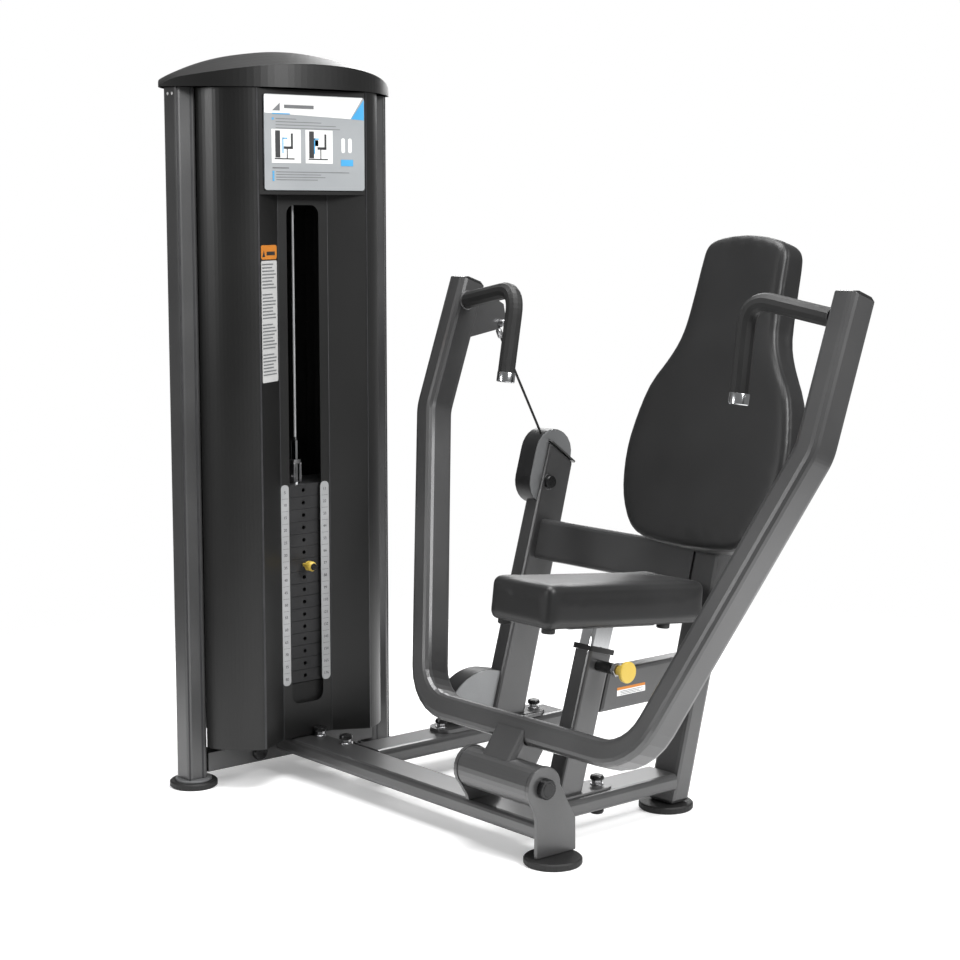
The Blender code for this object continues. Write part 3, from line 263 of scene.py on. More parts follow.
def tube(shape, points, radius, sides=12):
    """Adds a closed round tube along the points."""
    points = [Vector(p) for p in points]
    side = None
    rings = []
    for index, point in enumerate(points):
        ahead = points[min(index + 1, len(points) - 1)] - points[max(index - 1, 0)]
        ahead.normalize()
        if side is None:
            side = ahead.orthogonal().normalized()
        side = (side - ahead * side.dot(ahead)).normalized()
        other = ahead.cross(side)
        rings.append([shape.verts.new(point + (side * math.cos(a) + other * math.sin(a)) * radius)
                      for a in (2 * math.pi * k / sides for k in range(sides))])
    loft(shape, rings)


def soften(shape, width, segments=2):
    """Rounds the sharp edges by the given width."""
    sharp = [e for e in shape.edges if e.is_manifold and e.calc_face_angle(0.0) > math.radians(SHARP_ANGLE)]
    bmesh.ops.bevel(shape, geom=sharp, offset=width, segments=segments, affect="EDGES", profile=0.5,
                    clamp_overlap=True)


def piece(name, shape, material, body, smooth=SHARP_ANGLE):
    """Makes a visible object of the shape, which rides on the body."""
    bmesh.ops.recalc_face_normals(shape, faces=shape.faces)
    mesh = bpy.data.meshes.new(name)
    shape.to_mesh(mesh)
    shape.free()
    mesh.materials.append(material)
    mesh.shade_smooth()
    mesh.set_sharp_from_angle(angle=math.radians(smooth))
    thing = bpy.data.objects.new(name, mesh)
    bpy.context.scene.collection.objects.link(thing)
    if body:
        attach(thing, body)
    return thing


def plate(name, outline, low, high, place, material, body, edge=0.0):
    shape = bmesh.new()
    slab(shape, outline, low, high, place)
    if edge:
        soften(shape, edge)
    piece(name, shape, material, body)


def turned(name, profile, place, material, body, steps=28, smooth=SHARP_ANGLE):
    shape = bmesh.new()
    lathe(shape, profile, place, steps)
    piece(name, shape, material, body, smooth)


def hex_bolt(name, place, body):
    """Black washer and chamfered hexagon head standing on local Z."""
    across, height, washer = 0.0105, 0.008, 0.014
    shape = bmesh.new()
    lathe(shape, [(0, 0), (washer, 0), (washer, 0.0016), (washer - 0.0006, 0.0022), (0, 0.0022)], place, 28)
    lathe(shape, [(0, 0.0022), (across, 0.0022), (across, height), (across - 0.0014, height + 0.0016),
                  (0, height + 0.0018)], place, 6)
    piece(name, shape, GLOSS_BLACK, body, 25.0)


def capped_bolt(name, place, body):
    """Bright washer and nut with a black domed cap, standing on local Z."""
    shape = bmesh.new()
    lathe(shape, [(0, 0), (0.0150, 0), (0.0150, 0.0018), (0.0143, 0.0025), (0, 0.0025)], place, 28)
    lathe(shape, [(0, 0.0025), (0.0118, 0.0025), (0.0118, 0.0100), (0.0108, 0.0112), (0, 0.0112)], place, 6)
    piece(name + "_nut", shape, BRIGHT, body, 25.0)
    cap = [(0, 0.0112), (0.0150, 0.0112), (0.0162, 0.0125), (0.0162, 0.0165), (0.0140, 0.0205),
           (0.0080, 0.0225), (0, 0.0230)]
    turned(name + "_cap", cap, place, GLOSS_BLACK, body, 28)


# ---------------------------------------------------------------- tower
def column_details():
    for name, side in SIDES:
        low, high = 0.0200, 1.6505
        length, middle = high - low, (low + high) / 2
        # The grooves in the columns' front faces are drawn as thin dark ink strips: painted shade in place of
        # the shade inside each groove.
        for label, y, width in (("outer", 0.2998, 0.0040), ("inner", 0.2632, 0.0052)):
            outline = rounded(width, length, width * 0.45, 3)
            plate("column_groove_%s_%s" % (label, name), outline, -0.0004, 0.0005,
                  basis(at(COLUMN_FACE_X, side * y, middle), Y, X), INK_AND_PAINTED_SHADE, "frame")
        plate("column_end_plate_%s" % name, rounded(0.086, 0.086, 0.0425, 8), 0.0, 0.0042,
              basis(at(-0.8645, side * 0.274, 0.0162), X, Z), PALE_PAINT, "frame", 0.0012)
        for index, x in enumerate((-0.8740, -0.8560)):
            turned("column_hole_%s_%d" % (name, index), [(0, -0.0003), (0.0038, -0.0003), (0.0038, 0.0004),
                                                         (0.0026, 0.0009), (0, 0.0009)],
                   basis(at(x, side * 0.3025, 1.637), X, Y * side), CARD_WHITE, "frame", 16)


def shroud_details():
    low, high = 0.0960, 1.6500
    for name, side in SIDES:
        # A dark ink strip along the fold where the shroud turns inwards: painted shade at the seam.
        place = basis(at(EDGE_X + 0.0002, side * (EDGE_Y + 0.0012), (low + high) / 2), Y, X + Y * side * 0.5)
        plate("shroud_seam_%s" % name, rounded(0.0042, high - low, 0.0018, 3), -0.0012, 0.0006, place, INK_AND_PAINTED_SHADE,
              "frame")
        # A dark ink strip along the fold into the flat centre strip: painted shade in the crease.
        place = basis(at(SLOT_X + 0.0004, side * SLOT_Y, (low + high) / 2), Y, X + Y * side * -0.1)
        plate("shroud_fold_%s" % name, rounded(0.0022, high - low, 0.0010, 3), -0.0010, 0.0004, place, INK_AND_PAINTED_SHADE,
              "frame")
    shape = bmesh.new()
    outline = [(EDGE_X - 0.0008, -EDGE_Y + 0.003), (EDGE_X - 0.0008, EDGE_Y - 0.003),
               (SLOT_X + 0.0008, SLOT_Y - 0.001), (SLOT_X + 0.0008, -SLOT_Y + 0.001)]
    slab(shape, outline, 1.4080, 1.6495, Matrix.Translation(ORIGIN))
    soften(shape, 0.0015)
    piece("placard_backing", shape, SHROUD, "frame")


def number_strips():
    """Two strips beside the stack, with a number and a line for each plate."""
    pitch, levels = 0.0305, 16
    for name, low_y, high_y, step in (("left", -0.0730, -0.0500, 5), ("right", 0.0430, 0.0680, 11)):
        low, high = 0.2275, 0.7190
        width = high_y - low_y
        place = basis(at(SLOT_X, (low_y + high_y) / 2, (low + high) / 2), Y, X)
        plate("number_strip_%s" % name, rounded(width, high - low, width * 0.42, 5), 0.0001, 0.0012, place,
              SILVER, "frame", 0.0003)
        shape = bmesh.new()
        for level in range(levels):
            z = 0.2280 + pitch * (levels - 0.5 - level)
            text = bpy.data.curves.new("number", "FONT")
            text.body = str(step * (level + 1))
            text.size = 0.0098
            text.align_x = "CENTER"
            text.align_y = "CENTER"
            text.extrude = 0.0002
            holder = bpy.data.objects.new("number", text)
            bpy.context.scene.collection.objects.link(holder)
            bpy.context.view_layer.update()
            view = bpy.context.evaluated_depsgraph_get()
            flat = bpy.data.meshes.new_from_object(holder.evaluated_get(view))
            flat.transform(basis(at(SLOT_X + 0.00125, (low_y + high_y) / 2, z), Y, X))
            shape.from_mesh(flat)
            bpy.data.objects.remove(holder)
            bpy.data.meshes.remove(flat)
            if level:
                slab(shape, rounded(width * 0.74, 0.0006, 0.0002, 1), -0.0001, 0.0001,
                     basis(at(SLOT_X + 0.0013, (low_y + high_y) / 2, z + pitch / 2), Y, X))
        piece("numbers_%s" % name, shape, INK_AND_PAINTED_SHADE, "frame", 20.0)


def flat_patch(name, place, outlines, material, low=0.0, high=0.0003):
    """Thin printed areas of one colour."""
    shape = bmesh.new()
    for outline in outlines:
        slab(shape, outline, low, high, place)
    piece(name, shape, material, "frame")


def block(x0, x1, y0, y1):
    return [(x0, y0), (x1, y0), (x1, y1), (x0, y1)]


def machine_picture(x, y, reach):
    """A small generic drawing of a tower, a seat and an arm, as flat bars."""
    bars = [block(x + 0.006, x + 0.020, y + 0.010, y + 0.072),
            block(x + 0.004, x + 0.060, y + 0.006, y + 0.009),
            block(x + 0.030, x + 0.052, y + 0.030, y + 0.036),
            block(x + 0.050, x + 0.056, y + 0.030, y + 0.066),
            block(x + 0.038, x + 0.041, y + 0.009, y + 0.030)]
    arm = [block(x + reach, x + reach + 0.003, y + 0.020, y + 0.056),
           block(x + reach, x + reach + 0.014, y + 0.053, y + 0.056)]
    return bars, arm


def placard_print():
    low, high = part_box("placard")
    place = basis(Vector((high.x, (low.y + high.y) / 2, (low.z + high.z) / 2)), Y, X)
    half_w, half_h = (high.y - low.y) / 2 - 0.0010, (high.z - low.z) / 2 - 0.0010
    header = half_h - 0.046
    flat_patch("placard_header", place, [[(-half_w, header + 0.004), (half_w - 0.040, header - 0.004),
                                          (half_w - 0.004, half_h), (-half_w, half_h)]], CARD_WHITE)
    flat_patch("placard_corner", place, [[(half_w - 0.038, header - 0.004), (half_w, header - 0.006),
                                          (half_w, half_h - 0.004)],
                                         rounded(0.018, 0.014, 0.002, 2)], CARD_BLUE)
    boxes = [block(-0.124, -0.042, -0.047, 0.030), block(-0.028, 0.050, -0.047, 0.030)]
    flat_patch("placard_boxes", place, boxes, CARD_WHITE)
    dark, moving = [], []
    for x, reach in ((-0.120, 0.026), (-0.024, 0.020)):
        bars, arm = machine_picture(x, -0.045, reach)
        dark += bars
        moving += arm
    flat_patch("placard_pictures", place, dark, INK_AND_PAINTED_SHADE, 0.0002, 0.0005)
    lines = [block(-0.112, -0.112 + width, y, y + 0.0016) for width, y in
             ((0.058, 0.053), (0.130, 0.046), (0.172, 0.039), (0.184, 0.032),
              (0.210, -0.0685), (0.128, -0.0745), (0.140, -0.0805), (0.118, -0.0865))]
    lines.append(block(-0.122, -0.076, -0.0600, -0.0570))
    flat_patch("placard_lines", place, lines, GREY_INK)
    blue = [block(-0.1225, -0.1175, y - 0.001, y + 0.004)
            for y in (0.052, -0.0695, -0.0755, -0.0815, -0.0875)]
    blue += [block(0.074, 0.110, -0.052, -0.037), block(-0.122, -0.072, 0.0640, 0.0665)]
    flat_patch("placard_blue_marks", place, blue + moving, CARD_BLUE, 0.0002, 0.0006)
    figures = [[(x + shift, y - 0.004) for x, y in rounded(0.010, 0.034, 0.004, 3)]
               for shift in (0.081, 0.101)]
    flat_patch("placard_tokens", place, figures, CARD_WHITE)
    flat_patch("placard_mark", place, [[(-0.122, 0.072), (-0.100, 0.072), (-0.100, 0.090)],
                                       block(-0.088, -0.004, 0.078, 0.086)], GREY_INK, 0.0003, 0.0005)


def facet_label():
    edge, floor = Vector((EDGE_X, -EDGE_Y, 0)), Vector((SLOT_X, -SLOT_Y, 0))
    middle = (edge + floor) / 2
    out = Z.cross(edge - floor)
    place = basis(at(middle.x, middle.y, 1.131) + out.normalized() * 0.0002, floor - edge, out)
    width, half = 0.0800, 0.1600
    orange = [(x, y + half - 0.0165) for x, y in rounded(width, 0.033, 0.006, 4)]
    flat_patch("label_band", place, [orange], ORANGE, 0.0, 0.0005)
    white = [(x, y - 0.0180) for x, y in rounded(width, 2 * half - 0.0360, 0.004, 3)]
    flat_patch("label_sheet", place, [white], CARD_PALE, 0.0, 0.0004)
    lines = []
    for row in range(34):
        y = half - 0.046 - 0.0078 * row
        reach = 0.070 * (0.72 + 0.28 * math.sin(row * 2.4 + 0.6) ** 2)
        if row % 9 != 8:
            lines.append(block(-0.036, -0.036 + reach, y, y + 0.0032))
    flat_patch("label_lines", place, lines, GREY_INK, 0.0003, 0.0007)
    flat_patch("label_mark", place, [[(-0.034, half - 0.027), (-0.020, half - 0.027), (-0.027, half - 0.012)],
                                     block(-0.012, 0.030, half - 0.0235, half - 0.0150)], INK_AND_PAINTED_SHADE, 0.0004, 0.0008)


def cross_tube_label():
    place = basis(at(0.0250, 0.318, 0.3065), Y, X)
    flat_patch("tube_label_band", place, [block(-0.044, 0.044, 0.0035, 0.0095)], ORANGE, 0.0, 0.0004)
    flat_patch("tube_label_sheet", place, [block(-0.044, 0.044, -0.0095, 0.0033)], CARD_WHITE, 0.0, 0.0004)
    lines = [block(-0.034, 0.036 - 0.01 * (row % 2), -0.0075 + 0.0034 * row, -0.0060 + 0.0034 * row)
             for row in range(3)]
    flat_patch("tube_label_lines", place, lines, GREY_INK, 0.0003, 0.0006)


def stack_fittings():
    place = basis(at(STEM_X, 0.0, 0.0), Y, Z)
    fitting = [(0, 0.772), (0.0085, 0.772), (0.0085, 0.800), (0.0060, 0.806), (0.0060, 0.824),
               (0.0040, 0.828), (0, 0.828)]
    turned("stem_fitting", fitting, place, GLOSS_BLACK, "weight_stack", 20)
    shape = bmesh.new()
    for side in (-1.0, 1.0):
        outline = rounded(0.020, 0.052, 0.006, 4)
        slab(shape, outline, side * 0.0095 - 0.0016, side * 0.0095 + 0.0016,
             basis(at(STEM_X, 0.0, 0.742), X, Y))
    slab(shape, rounded(0.020, 0.022, 0.003, 2), 0.764, 0.773, basis(at(STEM_X, 0.0, 0.0), X, Z))
    lathe(shape, [(0, -0.014), (0.0042, -0.014), (0.0042, 0.014), (0, 0.014)],
          basis(at(STEM_X, 0.0, 0.732), X, Y), 16)
    soften(shape, 0.0006, 1)
    piece("stack_clevis", shape, BRIGHT, "weight_stack")


def cables():
    """The two straight runs, which change length with the arm and the stack, are drawn as fixed straight
    tubes in place of the cable parts.
    """
    start, end = at(MAST_X, 0.4665, 1.0745), at(MAST_X, 0.6633, 0.7120)
    low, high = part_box("stack_cable")
    middle = (low + high) / 2
    runs = (("arm_cable_run", start, end, "press_arm", "arm_cable", CABLE, "black_nylon"),
            ("stack_cable_run", Vector((middle.x, middle.y, low.z)), Vector((middle.x, middle.y, high.z)),
             "weight_stack", "stack_cable", SILVER, "bright_steel"))
    radius, steps = 0.0031, 24
    for name, first, last, body, node_name, material, slot in runs:
        shape = bmesh.new()
        tube(shape, [first.lerp(last, k / steps) for k in range(steps + 1)], radius, 14)
        run = piece(name, shape, material, None, 60.0)
        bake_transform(run)
        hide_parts(node_name)


column_details()
shroud_details()
number_strips()
placard_print()
facet_label()
cross_tube_label()
stack_fittings()
cables()


# ---------------------------------------------------------------- rails, mast and posts
def base_details():
    mast_thick, sleeve_thick = 0.0095, 0.0050
    plate("mast_base_plate", rounded(0.078, 0.352, 0.034, 8), 0.0, mast_thick,
          basis(at(MAST_X, 0.4335, RAIL_TOP), X, Z), PAINT, "frame", 0.0014)
    plate("sleeve_base_plate", rounded(0.072, 0.190, 0.030, 8), 0.0, sleeve_thick,
          basis(at(0.0, 0.170, RAIL_TOP), X, Z), PAINT, "frame", 0.0014)
    bolts = ((MAST_X, 0.281, mast_thick), (MAST_X, 0.588, mast_thick), (0.0, 0.238, sleeve_thick))
    for index, (x, y, thick) in enumerate(bolts):
        capped_bolt("base_bolt_%d" % index, basis(at(x, y, RAIL_TOP + thick), X, Z), "frame")
    for index, (x, y) in enumerate(((-0.660, 0.030), (-0.762, 0.026))):
        capped_bolt("rail_bolt_%d" % index, basis(at(x, y, RAIL_TOP), X, Z), "frame")
    capped_bolt("under_bolt", basis(at(0.0, 0.238, 0.0517), X, -Z), "frame")
    turned("beam_plug", [(0, -0.001), (0.0200, -0.001), (0.0200, 0.0050), (0.0170, 0.0090), (0.0080, 0.0105),
                         (0, 0.0105)], basis(at(-0.8390, -0.100, 0.056), Y, X), GLOSS_BLACK, "frame",
           24)


def pivot_details():
    outer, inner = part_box("pivot_plate_outer")[1].x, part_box("pivot_plate_inner")[0].x
    for name, x, out in (("outer", outer, X), ("inner", inner, -X)):
        place = basis(Vector((x, ORIGIN.y - 0.037, 0.167)), Y, out)
        washer = [(0, 0), (0.0205, 0), (0.0205, 0.0014), (0.0198, 0.0020), (0, 0.0020)]
        head = [(0, 0.0020), (0.0160, 0.0020), (0.0160, 0.0130), (0.0145, 0.0150), (0, 0.0154)]
        turned("pivot_washer_" + name, washer, place, PAINT, "frame", 36)
        turned("pivot_bolt_" + name, head, place, GLOSS_BLACK, "frame", 36)


def arc(centre, radius, start, end):
    """Points along an arc, between two angles in degrees."""
    steps = 14
    angles = (math.radians(start + (end - start) * k / steps) for k in range(steps + 1))
    return [(centre[0] + radius * math.cos(a), centre[1] + radius * math.sin(a)) for a in angles]


def guard_band(name, path):
    """The black rim that shows between the two side plates of a pulley guard."""
    shape = bmesh.new()
    rings = []
    corners = ((-0.0158, -0.0008), (0.0125, -0.0008), (0.0125, 0.0007), (-0.0158, 0.0007))
    for index, (y, z) in enumerate(path):
        ahead = Vector(path[min(index + 1, len(path) - 1)]) - Vector(path[max(index - 1, 0)])
        out = Vector((ahead.y, -ahead.x)).normalized()
        rings.append([shape.verts.new(at(MAST_X + side, y + out.x * grow, z + out.y * grow))
                      for side, grow in corners])
    loft(shape, rings)
    piece(name, shape, NYLON, "frame", 40.0)


def mast_details():
    head = [(0, -0.004), (0.0165, -0.004), (0.0165, 0.008), (0.0150, 0.0100), (0, 0.0105)]
    turned("mast_pulley_bolt", head, basis(at(-0.5730, 0.614, 0.689), Y, X), GLOSS_BLACK,
           "frame", 28)
    washer = [(0, 0), (0.0205, 0), (0.0205, 0.0012), (0.0198, 0.0018), (0, 0.0018)]
    turned("mast_pulley_washer", washer, basis(at(-0.5748, 0.614, 0.689), Y, X), PAINT,
           "frame", 28)
    hex_bolt("foot_pulley_bolt", basis(at(-0.5838, 0.400, 0.118), Y, X), "frame")
    place = basis(at(MAST_X, 0.6605, 0.7615), X, Vector((0.0, 0.595, 0.804)))
    plate("mast_cap_plate", rounded(0.0570, 0.1060, 0.0050, 4), 0.0003, 0.0045, place, PAINT,
          "frame", 0.0010)
    place = basis(at(MAST_X, 0.0, 0.0), Y, X)
    radius, low, high = 0.060, -0.0430, -0.0165
    ring = [*arc((0.620, 0.689), radius, 164.3, 344.3), *arc((0.640, 0.760), radius, -15.7, 164.3)]
    plate("mast_guard_cover", ring, low, high, place, NYLON, "frame", 0.0030)
    guard_band("mast_guard_band", [*ring, ring[0]])
    back, nose = (0.475, 0.155), (0.380, 0.135)
    crest = arc((0.411, 0.0945), 0.1329, 80.0, 138.0)
    foot = [*arc(back, radius, 0.0, 75.0), *crest, *arc(nose, radius, 190.0, 222.0)]
    plate("foot_guard_cover", foot, low, high, place, NYLON, "frame", 0.0030)
    band = [*arc(back, radius, -60.0, 75.0), *crest, *arc(nose, radius, 190.0, 262.0)]
    guard_band("foot_guard_band", band)


def sleeve_details():
    lean = math.radians(16.2)
    along = Vector((0.0, math.sin(lean), math.cos(lean)))
    place = basis(at(0.0, 0.2235, 0.402) + along * 0.0005, X, along)
    shape = bmesh.new()
    outer, inner = rounded(0.060, 0.076, 0.006, 4), rounded(0.0425, 0.0560, 0.004, 4)
    rings = []
    for outline, height in ((inner, 0.0), (outer, 0.0), (outer, 0.0120), (inner, 0.0120)):
        rings.append([shape.verts.new(place @ Vector((x, y, height))) for x, y in outline])
    loft(shape, [*rings, rings[0]], capped=False)
    soften(shape, 0.0012)
    piece("sleeve_collar", shape, RUBBER, "frame")
    low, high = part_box("pop_pin_barrel")
    end = Vector((high.x, (low.y + high.y) / 2, (low.z + high.z) / 2))
    nut = [(0, -0.0110), (0.0150, -0.0110), (0.0160, -0.0100), (0.0160, -0.0008), (0.0150, 0.0002),
           (0, 0.0002)]
    turned("pop_pin_nut", nut, basis(end, Y, X), BRIGHT, "frame", 6, 25.0)
    low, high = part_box("selector_pin")
    end = Vector((high.x - 0.0002, (low.y + high.y) / 2, (low.z + high.z) / 2))
    cap = [(0, 0), (0.0085, 0), (0.0078, 0.0012), (0, 0.0016)]
    turned("selector_cap", cap, basis(end, Y, X), GLOSS_BLACK, "selector", 24)


base_details()
pivot_details()
mast_details()
sleeve_details()


# ---------------------------------------------------------------- press arm
def arm_cap(name, place):
    """A black plug in the arm's square end, domed from front to back."""
    shape = bmesh.new()
    width, depth, rise = 0.0560, 0.0744, 0.0100
    outline = rounded(width, depth, 0.0135, 5)
    rings = [[shape.verts.new(place @ Vector((x, y, -0.0040))) for x, y in outline]]
    for share in (1.0, 0.97, 0.88, 0.70, 0.45, 0.20):
        edge = min(1.0, (1.0 - share) * 9.0 + 0.1)
        ring = []
        for x, y in outline:
            dome = math.cos(min(abs(y * share) / (depth / 2), 1.0) * math.pi / 2)
            ring.append(shape.verts.new(place @ Vector((x * share, y * share, 0.0010 + rise * dome * edge))))
        rings.append(ring)
    loft(shape, rings)
    piece(name, shape, GLOSS_BLACK, "press_arm", 50.0)


def press_details():
    lean = math.atan(FRAME_SLOPE)
    up = Vector((0.0, math.sin(lean), math.cos(lean)))
    for name, side in SIDES:
        collar_low = Vector((side * 0.364, 0.2822, 0.9735))
        collar = [(0, 0), (0.0196, 0), (0.0214, 0.0018), (0.0214, 0.0225), (0.0206, 0.0240), (0, 0.0240)]
        turned("grip_collar_" + name, collar, basis(at(*collar_low), X, Vector((0, 0.155, 1.0))), COLLAR,
               "press_arm", 36)
        ring = [(0, 0), (0.0240, 0), (0.0236, 0.0022), (0.0212, 0.0040), (0, 0.0040)]
        turned("grip_root_ring_" + name, ring, basis(at(side * 0.5666, 0.337, 1.157), Y, -X * side), PAINT,
               "press_arm", 32)
    for name, side in SIDES:
        arm_cap("arm_cap_" + name, basis(at(side * 0.5957, 0.3620, 1.2002), X, up))
    eye = at(-0.5960, 0.4700, 1.0960)
    shape = bmesh.new()
    lathe(shape, [(0, -0.012), (0.0090, -0.012), (0.0090, 0.014), (0.0078, 0.0160), (0, 0.0160)],
          basis(eye, Y, X), 20)
    lathe(shape, [(0, 0.016), (0.0050, 0.016), (0.0050, 0.022), (0, 0.022)], basis(eye, Y, X), 6)
    piece("cable_standoff", shape, BRIGHT, "press_arm")
    turned("cable_eye", [(0, -0.006), (0.0070, -0.006), (0.0076, -0.004), (0.0076, 0.012), (0.0050, 0.018),
                         (0, 0.018)], basis(at(MAST_X, 0.4720, 1.0660), X, Vector((0, -0.42, 0.91))), BRIGHT,
           "press_arm", 20)


press_details()


# ---------------------------------------------------------------- padded seat and back
def settle(thing):
    """Applies the object's modifiers to its mesh."""
    view = bpy.context.evaluated_depsgraph_get()
    done = bpy.data.meshes.new_from_object(thing.evaluated_get(view))
    thing.modifiers.clear()
    thing.data = done


def points_of(mesh):
    flat = np.zeros(len(mesh.vertices) * 3)
    mesh.vertices.foreach_get("co", flat)
    return flat.reshape(-1, 3)


def swell(pad, fixed, limit):
    """Inflates the closed skin with cloth, with the fixed points held and the growth capped."""
    before = points_of(pad.data)
    held = pad.vertex_groups.new(name="board")
    held.add([int(k) for k in np.nonzero(fixed)[0]], 1.0, "REPLACE")
    skin = pad.modifiers.new("skin", "CLOTH")
    settings = skin.settings
    settings.quality = 4
    settings.mass = 0.3
    settings.tension_stiffness = 18.0
    settings.compression_stiffness = 18.0
    settings.shear_stiffness = 8.0
    settings.bending_stiffness = 2.0
    settings.use_pressure = True
    settings.uniform_pressure_force = 4.0
    settings.vertex_group_mass = "board"
    settings.effector_weights.gravity = 0.0
    frames = 20
    skin.point_cache.frame_start = 1
    skin.point_cache.frame_end = frames
    scene = bpy.context.scene
    for step in range(1, frames + 1):
        scene.frame_set(step)
    settle(pad)
    scene.frame_set(1)
    after = points_of(pad.data)
    move = after - before
    size = np.linalg.norm(move, axis=1, keepdims=True)
    move *= limit * np.tanh(size / limit) / np.maximum(size, 1e-9)
    pad.data.vertices.foreach_set("co", (before + move).ravel())
    pad.vertex_groups.clear()


def relax(pad, rounds):
    shape = bmesh.new()
    shape.from_mesh(pad.data)
    for _ in range(rounds):
        bmesh.ops.smooth_vert(shape, verts=shape.verts, factor=0.5, use_axis_x=True, use_axis_y=True,
                              use_axis_z=True)
    shape.to_mesh(pad.data)
    shape.free()


def soft_pad(name, node_name, body, place, half_thick, voxel, limit, seam_levels, crown, seam_depth=0.0016):
    """A closed pad in its local frame: Z is its thickness, with the upholstered face up."""
    pad = bpy.data.objects.new(name, NODES[node_name].data.copy())
    bpy.context.scene.collection.objects.link(pad)
    pad.data.transform(place.inverted())
    remesh = pad.modifiers.new("even", "REMESH")
    remesh.mode = "VOXEL"
    remesh.voxel_size = voxel
    settle(pad)
    relax(pad, 1)
    here = points_of(pad.data)
    fixed = here[:, 2] < -half_thick + 0.004
    swell(pad, fixed, limit)
    relax(pad, 1)
    finer = pad.modifiers.new("finer", "SUBSURF")
    finer.levels = 1
    finer.render_levels = 1
    settle(pad)
    here = points_of(pad.data)
    normals = np.zeros(len(here) * 3)
    pad.data.vertices.foreach_get("normal", normals)
    normals = normals.reshape(-1, 3)
    side_wall = np.clip(1.6 * (1.0 - np.abs(normals[:, 2])) - 0.1, 0.0, 1.0)
    for level in seam_levels:
        groove = seam_depth * np.exp(-((here[:, 2] - level) / 0.0026) ** 2)
        here = here - normals * (groove * side_wall)[:, None]
    top = np.clip(normals[:, 2], 0.0, 1.0)
    reach_x, reach_y = np.abs(here[:, 0]).max(), np.abs(here[:, 1]).max()
    dome = np.clip(1.0 - (here[:, 0] / reach_x) ** 2, 0, 1) * np.clip(1.0 - (here[:, 1] / reach_y) ** 2, 0, 1)
    here[:, 2] += crown * dome * top
    pad.data.vertices.foreach_set("co", here.ravel())
    pad.data.transform(place)
    pad.data.materials.clear()
    pad.data.materials.append(VINYL)
    pad.data.shade_smooth()
    pad.data.update()
    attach(pad, body)
    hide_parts(node_name)


def pads():
    tilt = math.radians(5.7)
    forward = Vector((0.0, math.cos(tilt), -math.sin(tilt)))
    up = Vector((0.0, math.sin(tilt), math.cos(tilt)))
    seat_middle = at(0.0, 0.0, 0.589) + forward * 0.2465 - up * 0.0475
    soft_pad("seat_cushion", "seat_pad", "seat", basis(seat_middle, X, up), 0.0475, 0.0045, 0.0016,
             (-0.0365,), 0.0008, 0.0007)
    bumper = [(0, 0), (0.0150, 0), (0.0150, 0.0085), (0.0130, 0.0105), (0, 0.0105)]
    for side in (-1.0, 1.0):
        for index, reach in enumerate((0.034, 0.383)):
            foot = at(side * 0.070, 0.0, 0.589) + forward * reach - up * 0.0945
            turned("seat_bumper_%s_%d" % ("left" if side > 0 else "right", index), bumper,
                   basis(foot, X, -up), RUBBER, "seat", 28)
    lean = math.atan(PAD_SLOPE)
    out = Vector((0.0, -math.cos(lean), math.sin(lean)))
    middle = at(0.0, 0.515 + PAD_SLOPE * (0.950 - 0.660), 0.950) - out * 0.03935
    soft_pad("back_cushion", "back_pad", "frame", basis(middle, X, out), 0.03935, 0.0055, 0.0016,
             (0.0245, -0.0270), 0.0010, 0.0008)


pads()


# ---------------------------------------------------------------- stage, light and camera
SKY_LEVEL = 0.22
FLOOR_GLOW = 0.28
LAMPS = (("key", (4.4, 0.8, 3.6), (0.0, 0.0, 0.9), 2.0, 300),
         ("top", (-0.2, 0.0, 4.6), (0.0, 0.0, 0.5), 3.0, 270),
         ("left_fill", (-1.2, -4.6, 2.2), (-0.4, 0.0, 0.9), 1.0, 55),
         ("rear", (-3.4, 3.6, 3.0), (0.0, 0.0, 0.9), 2.2, 90))


def area(name, place, target, size, watts):
    data = bpy.data.lights.new(name, "AREA")
    data.shape = "SQUARE"
    data.size = size
    data.energy = watts
    lamp = bpy.data.objects.new(name, data)
    lamp.location = place
    lamp.rotation_euler = (Vector(target) - Vector(place)).to_track_quat("-Z", "Y").to_euler()
    bpy.context.scene.collection.objects.link(lamp)


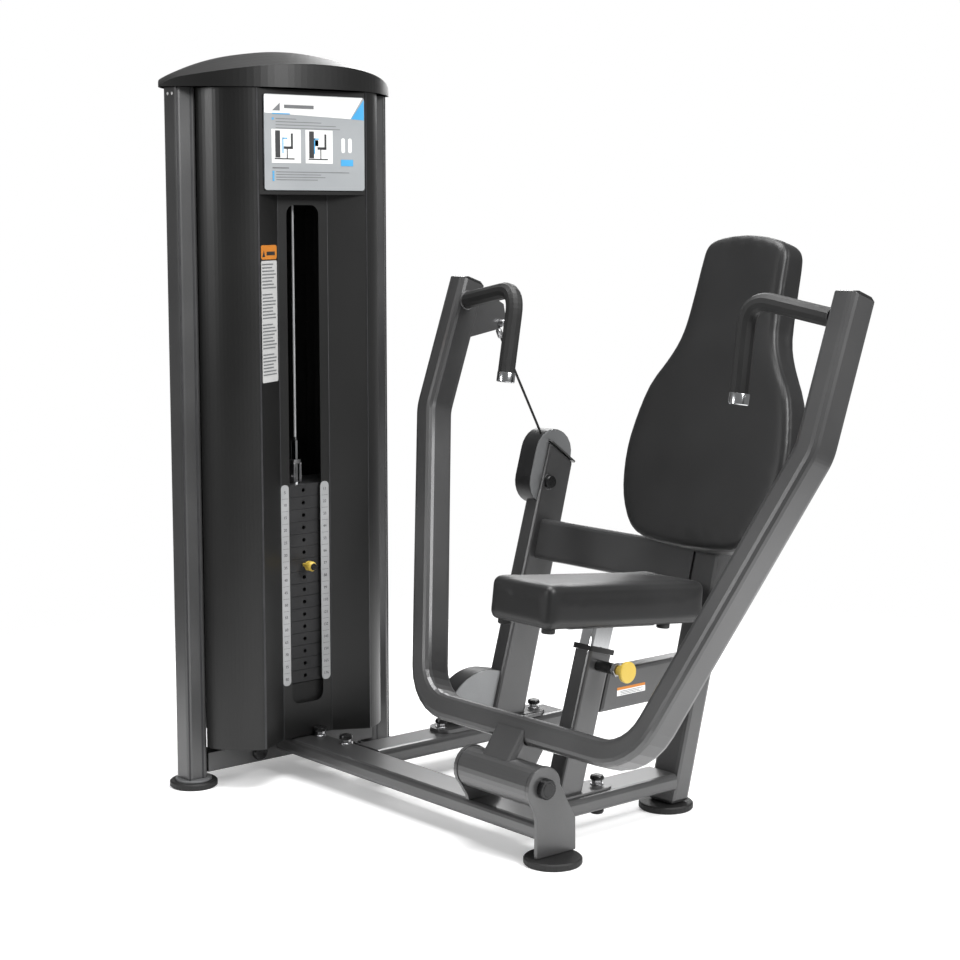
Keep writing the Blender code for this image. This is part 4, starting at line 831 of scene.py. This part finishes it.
def stage():
    """A pale floor that thins out to the white surround, under a soft studio sky."""
    shape = bmesh.new()
    bmesh.ops.create_circle(shape, cap_ends=True, segments=64, radius=9.0)
    mesh = bpy.data.meshes.new("floor")
    shape.to_mesh(mesh)
    shape.free()
    floor = bpy.data.objects.new("floor", mesh)
    bpy.context.scene.collection.objects.link(floor)
    material, nodes, links = shader("pale_floor")
    surface = nodes["Principled BSDF"]
    surface.inputs["Base Color"].default_value = (0.90, 0.90, 0.90, 1)
    surface.inputs["Roughness"].default_value = 0.9
    surface.inputs["Specular IOR Level"].default_value = 0.1
    surface.inputs["Emission Color"].default_value = (1, 1, 1, 1)
    seen = nodes.new("ShaderNodeLightPath")
    glow = nodes.new("ShaderNodeMapRange")
    glow.inputs["To Min"].default_value = 0.02
    glow.inputs["To Max"].default_value = FLOOR_GLOW
    links.new(seen.outputs["Is Camera Ray"], glow.inputs["Value"])
    links.new(glow.outputs["Result"], surface.inputs["Emission Strength"])
    coords = nodes.new("ShaderNodeTexCoord")
    reach = nodes.new("ShaderNodeVectorMath")
    reach.operation = "LENGTH"
    fade = nodes.new("ShaderNodeMapRange")
    fade.inputs["From Min"].default_value = 1.3
    fade.inputs["From Max"].default_value = 2.6
    fade.interpolation_type = "SMOOTHSTEP"
    clear = nodes.new("ShaderNodeBsdfTransparent")
    mix = nodes.new("ShaderNodeMixShader")
    links.new(coords.outputs["Object"], reach.inputs[0])
    links.new(reach.outputs["Value"], fade.inputs["Value"])
    links.new(fade.outputs["Result"], mix.inputs["Fac"])
    links.new(surface.outputs["BSDF"], mix.inputs[1])
    links.new(clear.outputs["BSDF"], mix.inputs[2])
    links.new(mix.outputs["Shader"], nodes["Material Output"].inputs["Surface"])
    mesh.materials.append(material)
    scene = bpy.context.scene
    scene.view_settings.view_transform = "Standard"
    world = bpy.data.worlds.new("studio")
    scene.world = world
    world.use_nodes = True
    tree = world.node_tree
    sky = tree.nodes["Background"]
    sky.inputs["Color"].default_value = (1, 1, 1, 1)
    path = tree.nodes.new("ShaderNodeLightPath")
    level = tree.nodes.new("ShaderNodeMapRange")
    level.inputs["To Min"].default_value = SKY_LEVEL
    level.inputs["To Max"].default_value = 1.0
    tree.links.new(path.outputs["Is Camera Ray"], level.inputs["Value"])
    tree.links.new(level.outputs["Result"], sky.inputs["Strength"])
    for name, place, target, size, watts in LAMPS:
        area(name, place, target, size, watts)


def camera():
    data = bpy.data.cameras.new("camera")
    data.lens = 75.0
    data.sensor_width = 36.0
    data.clip_end = 200.0
    holder = bpy.data.objects.new("camera", data)
    holder.location = at(3.1395, -2.7878, 1.365)
    holder.rotation_euler = (math.radians(82.4), 0.0, math.radians(49.5))
    bpy.context.scene.collection.objects.link(holder)
    bpy.context.scene.camera = holder


stage()
camera()
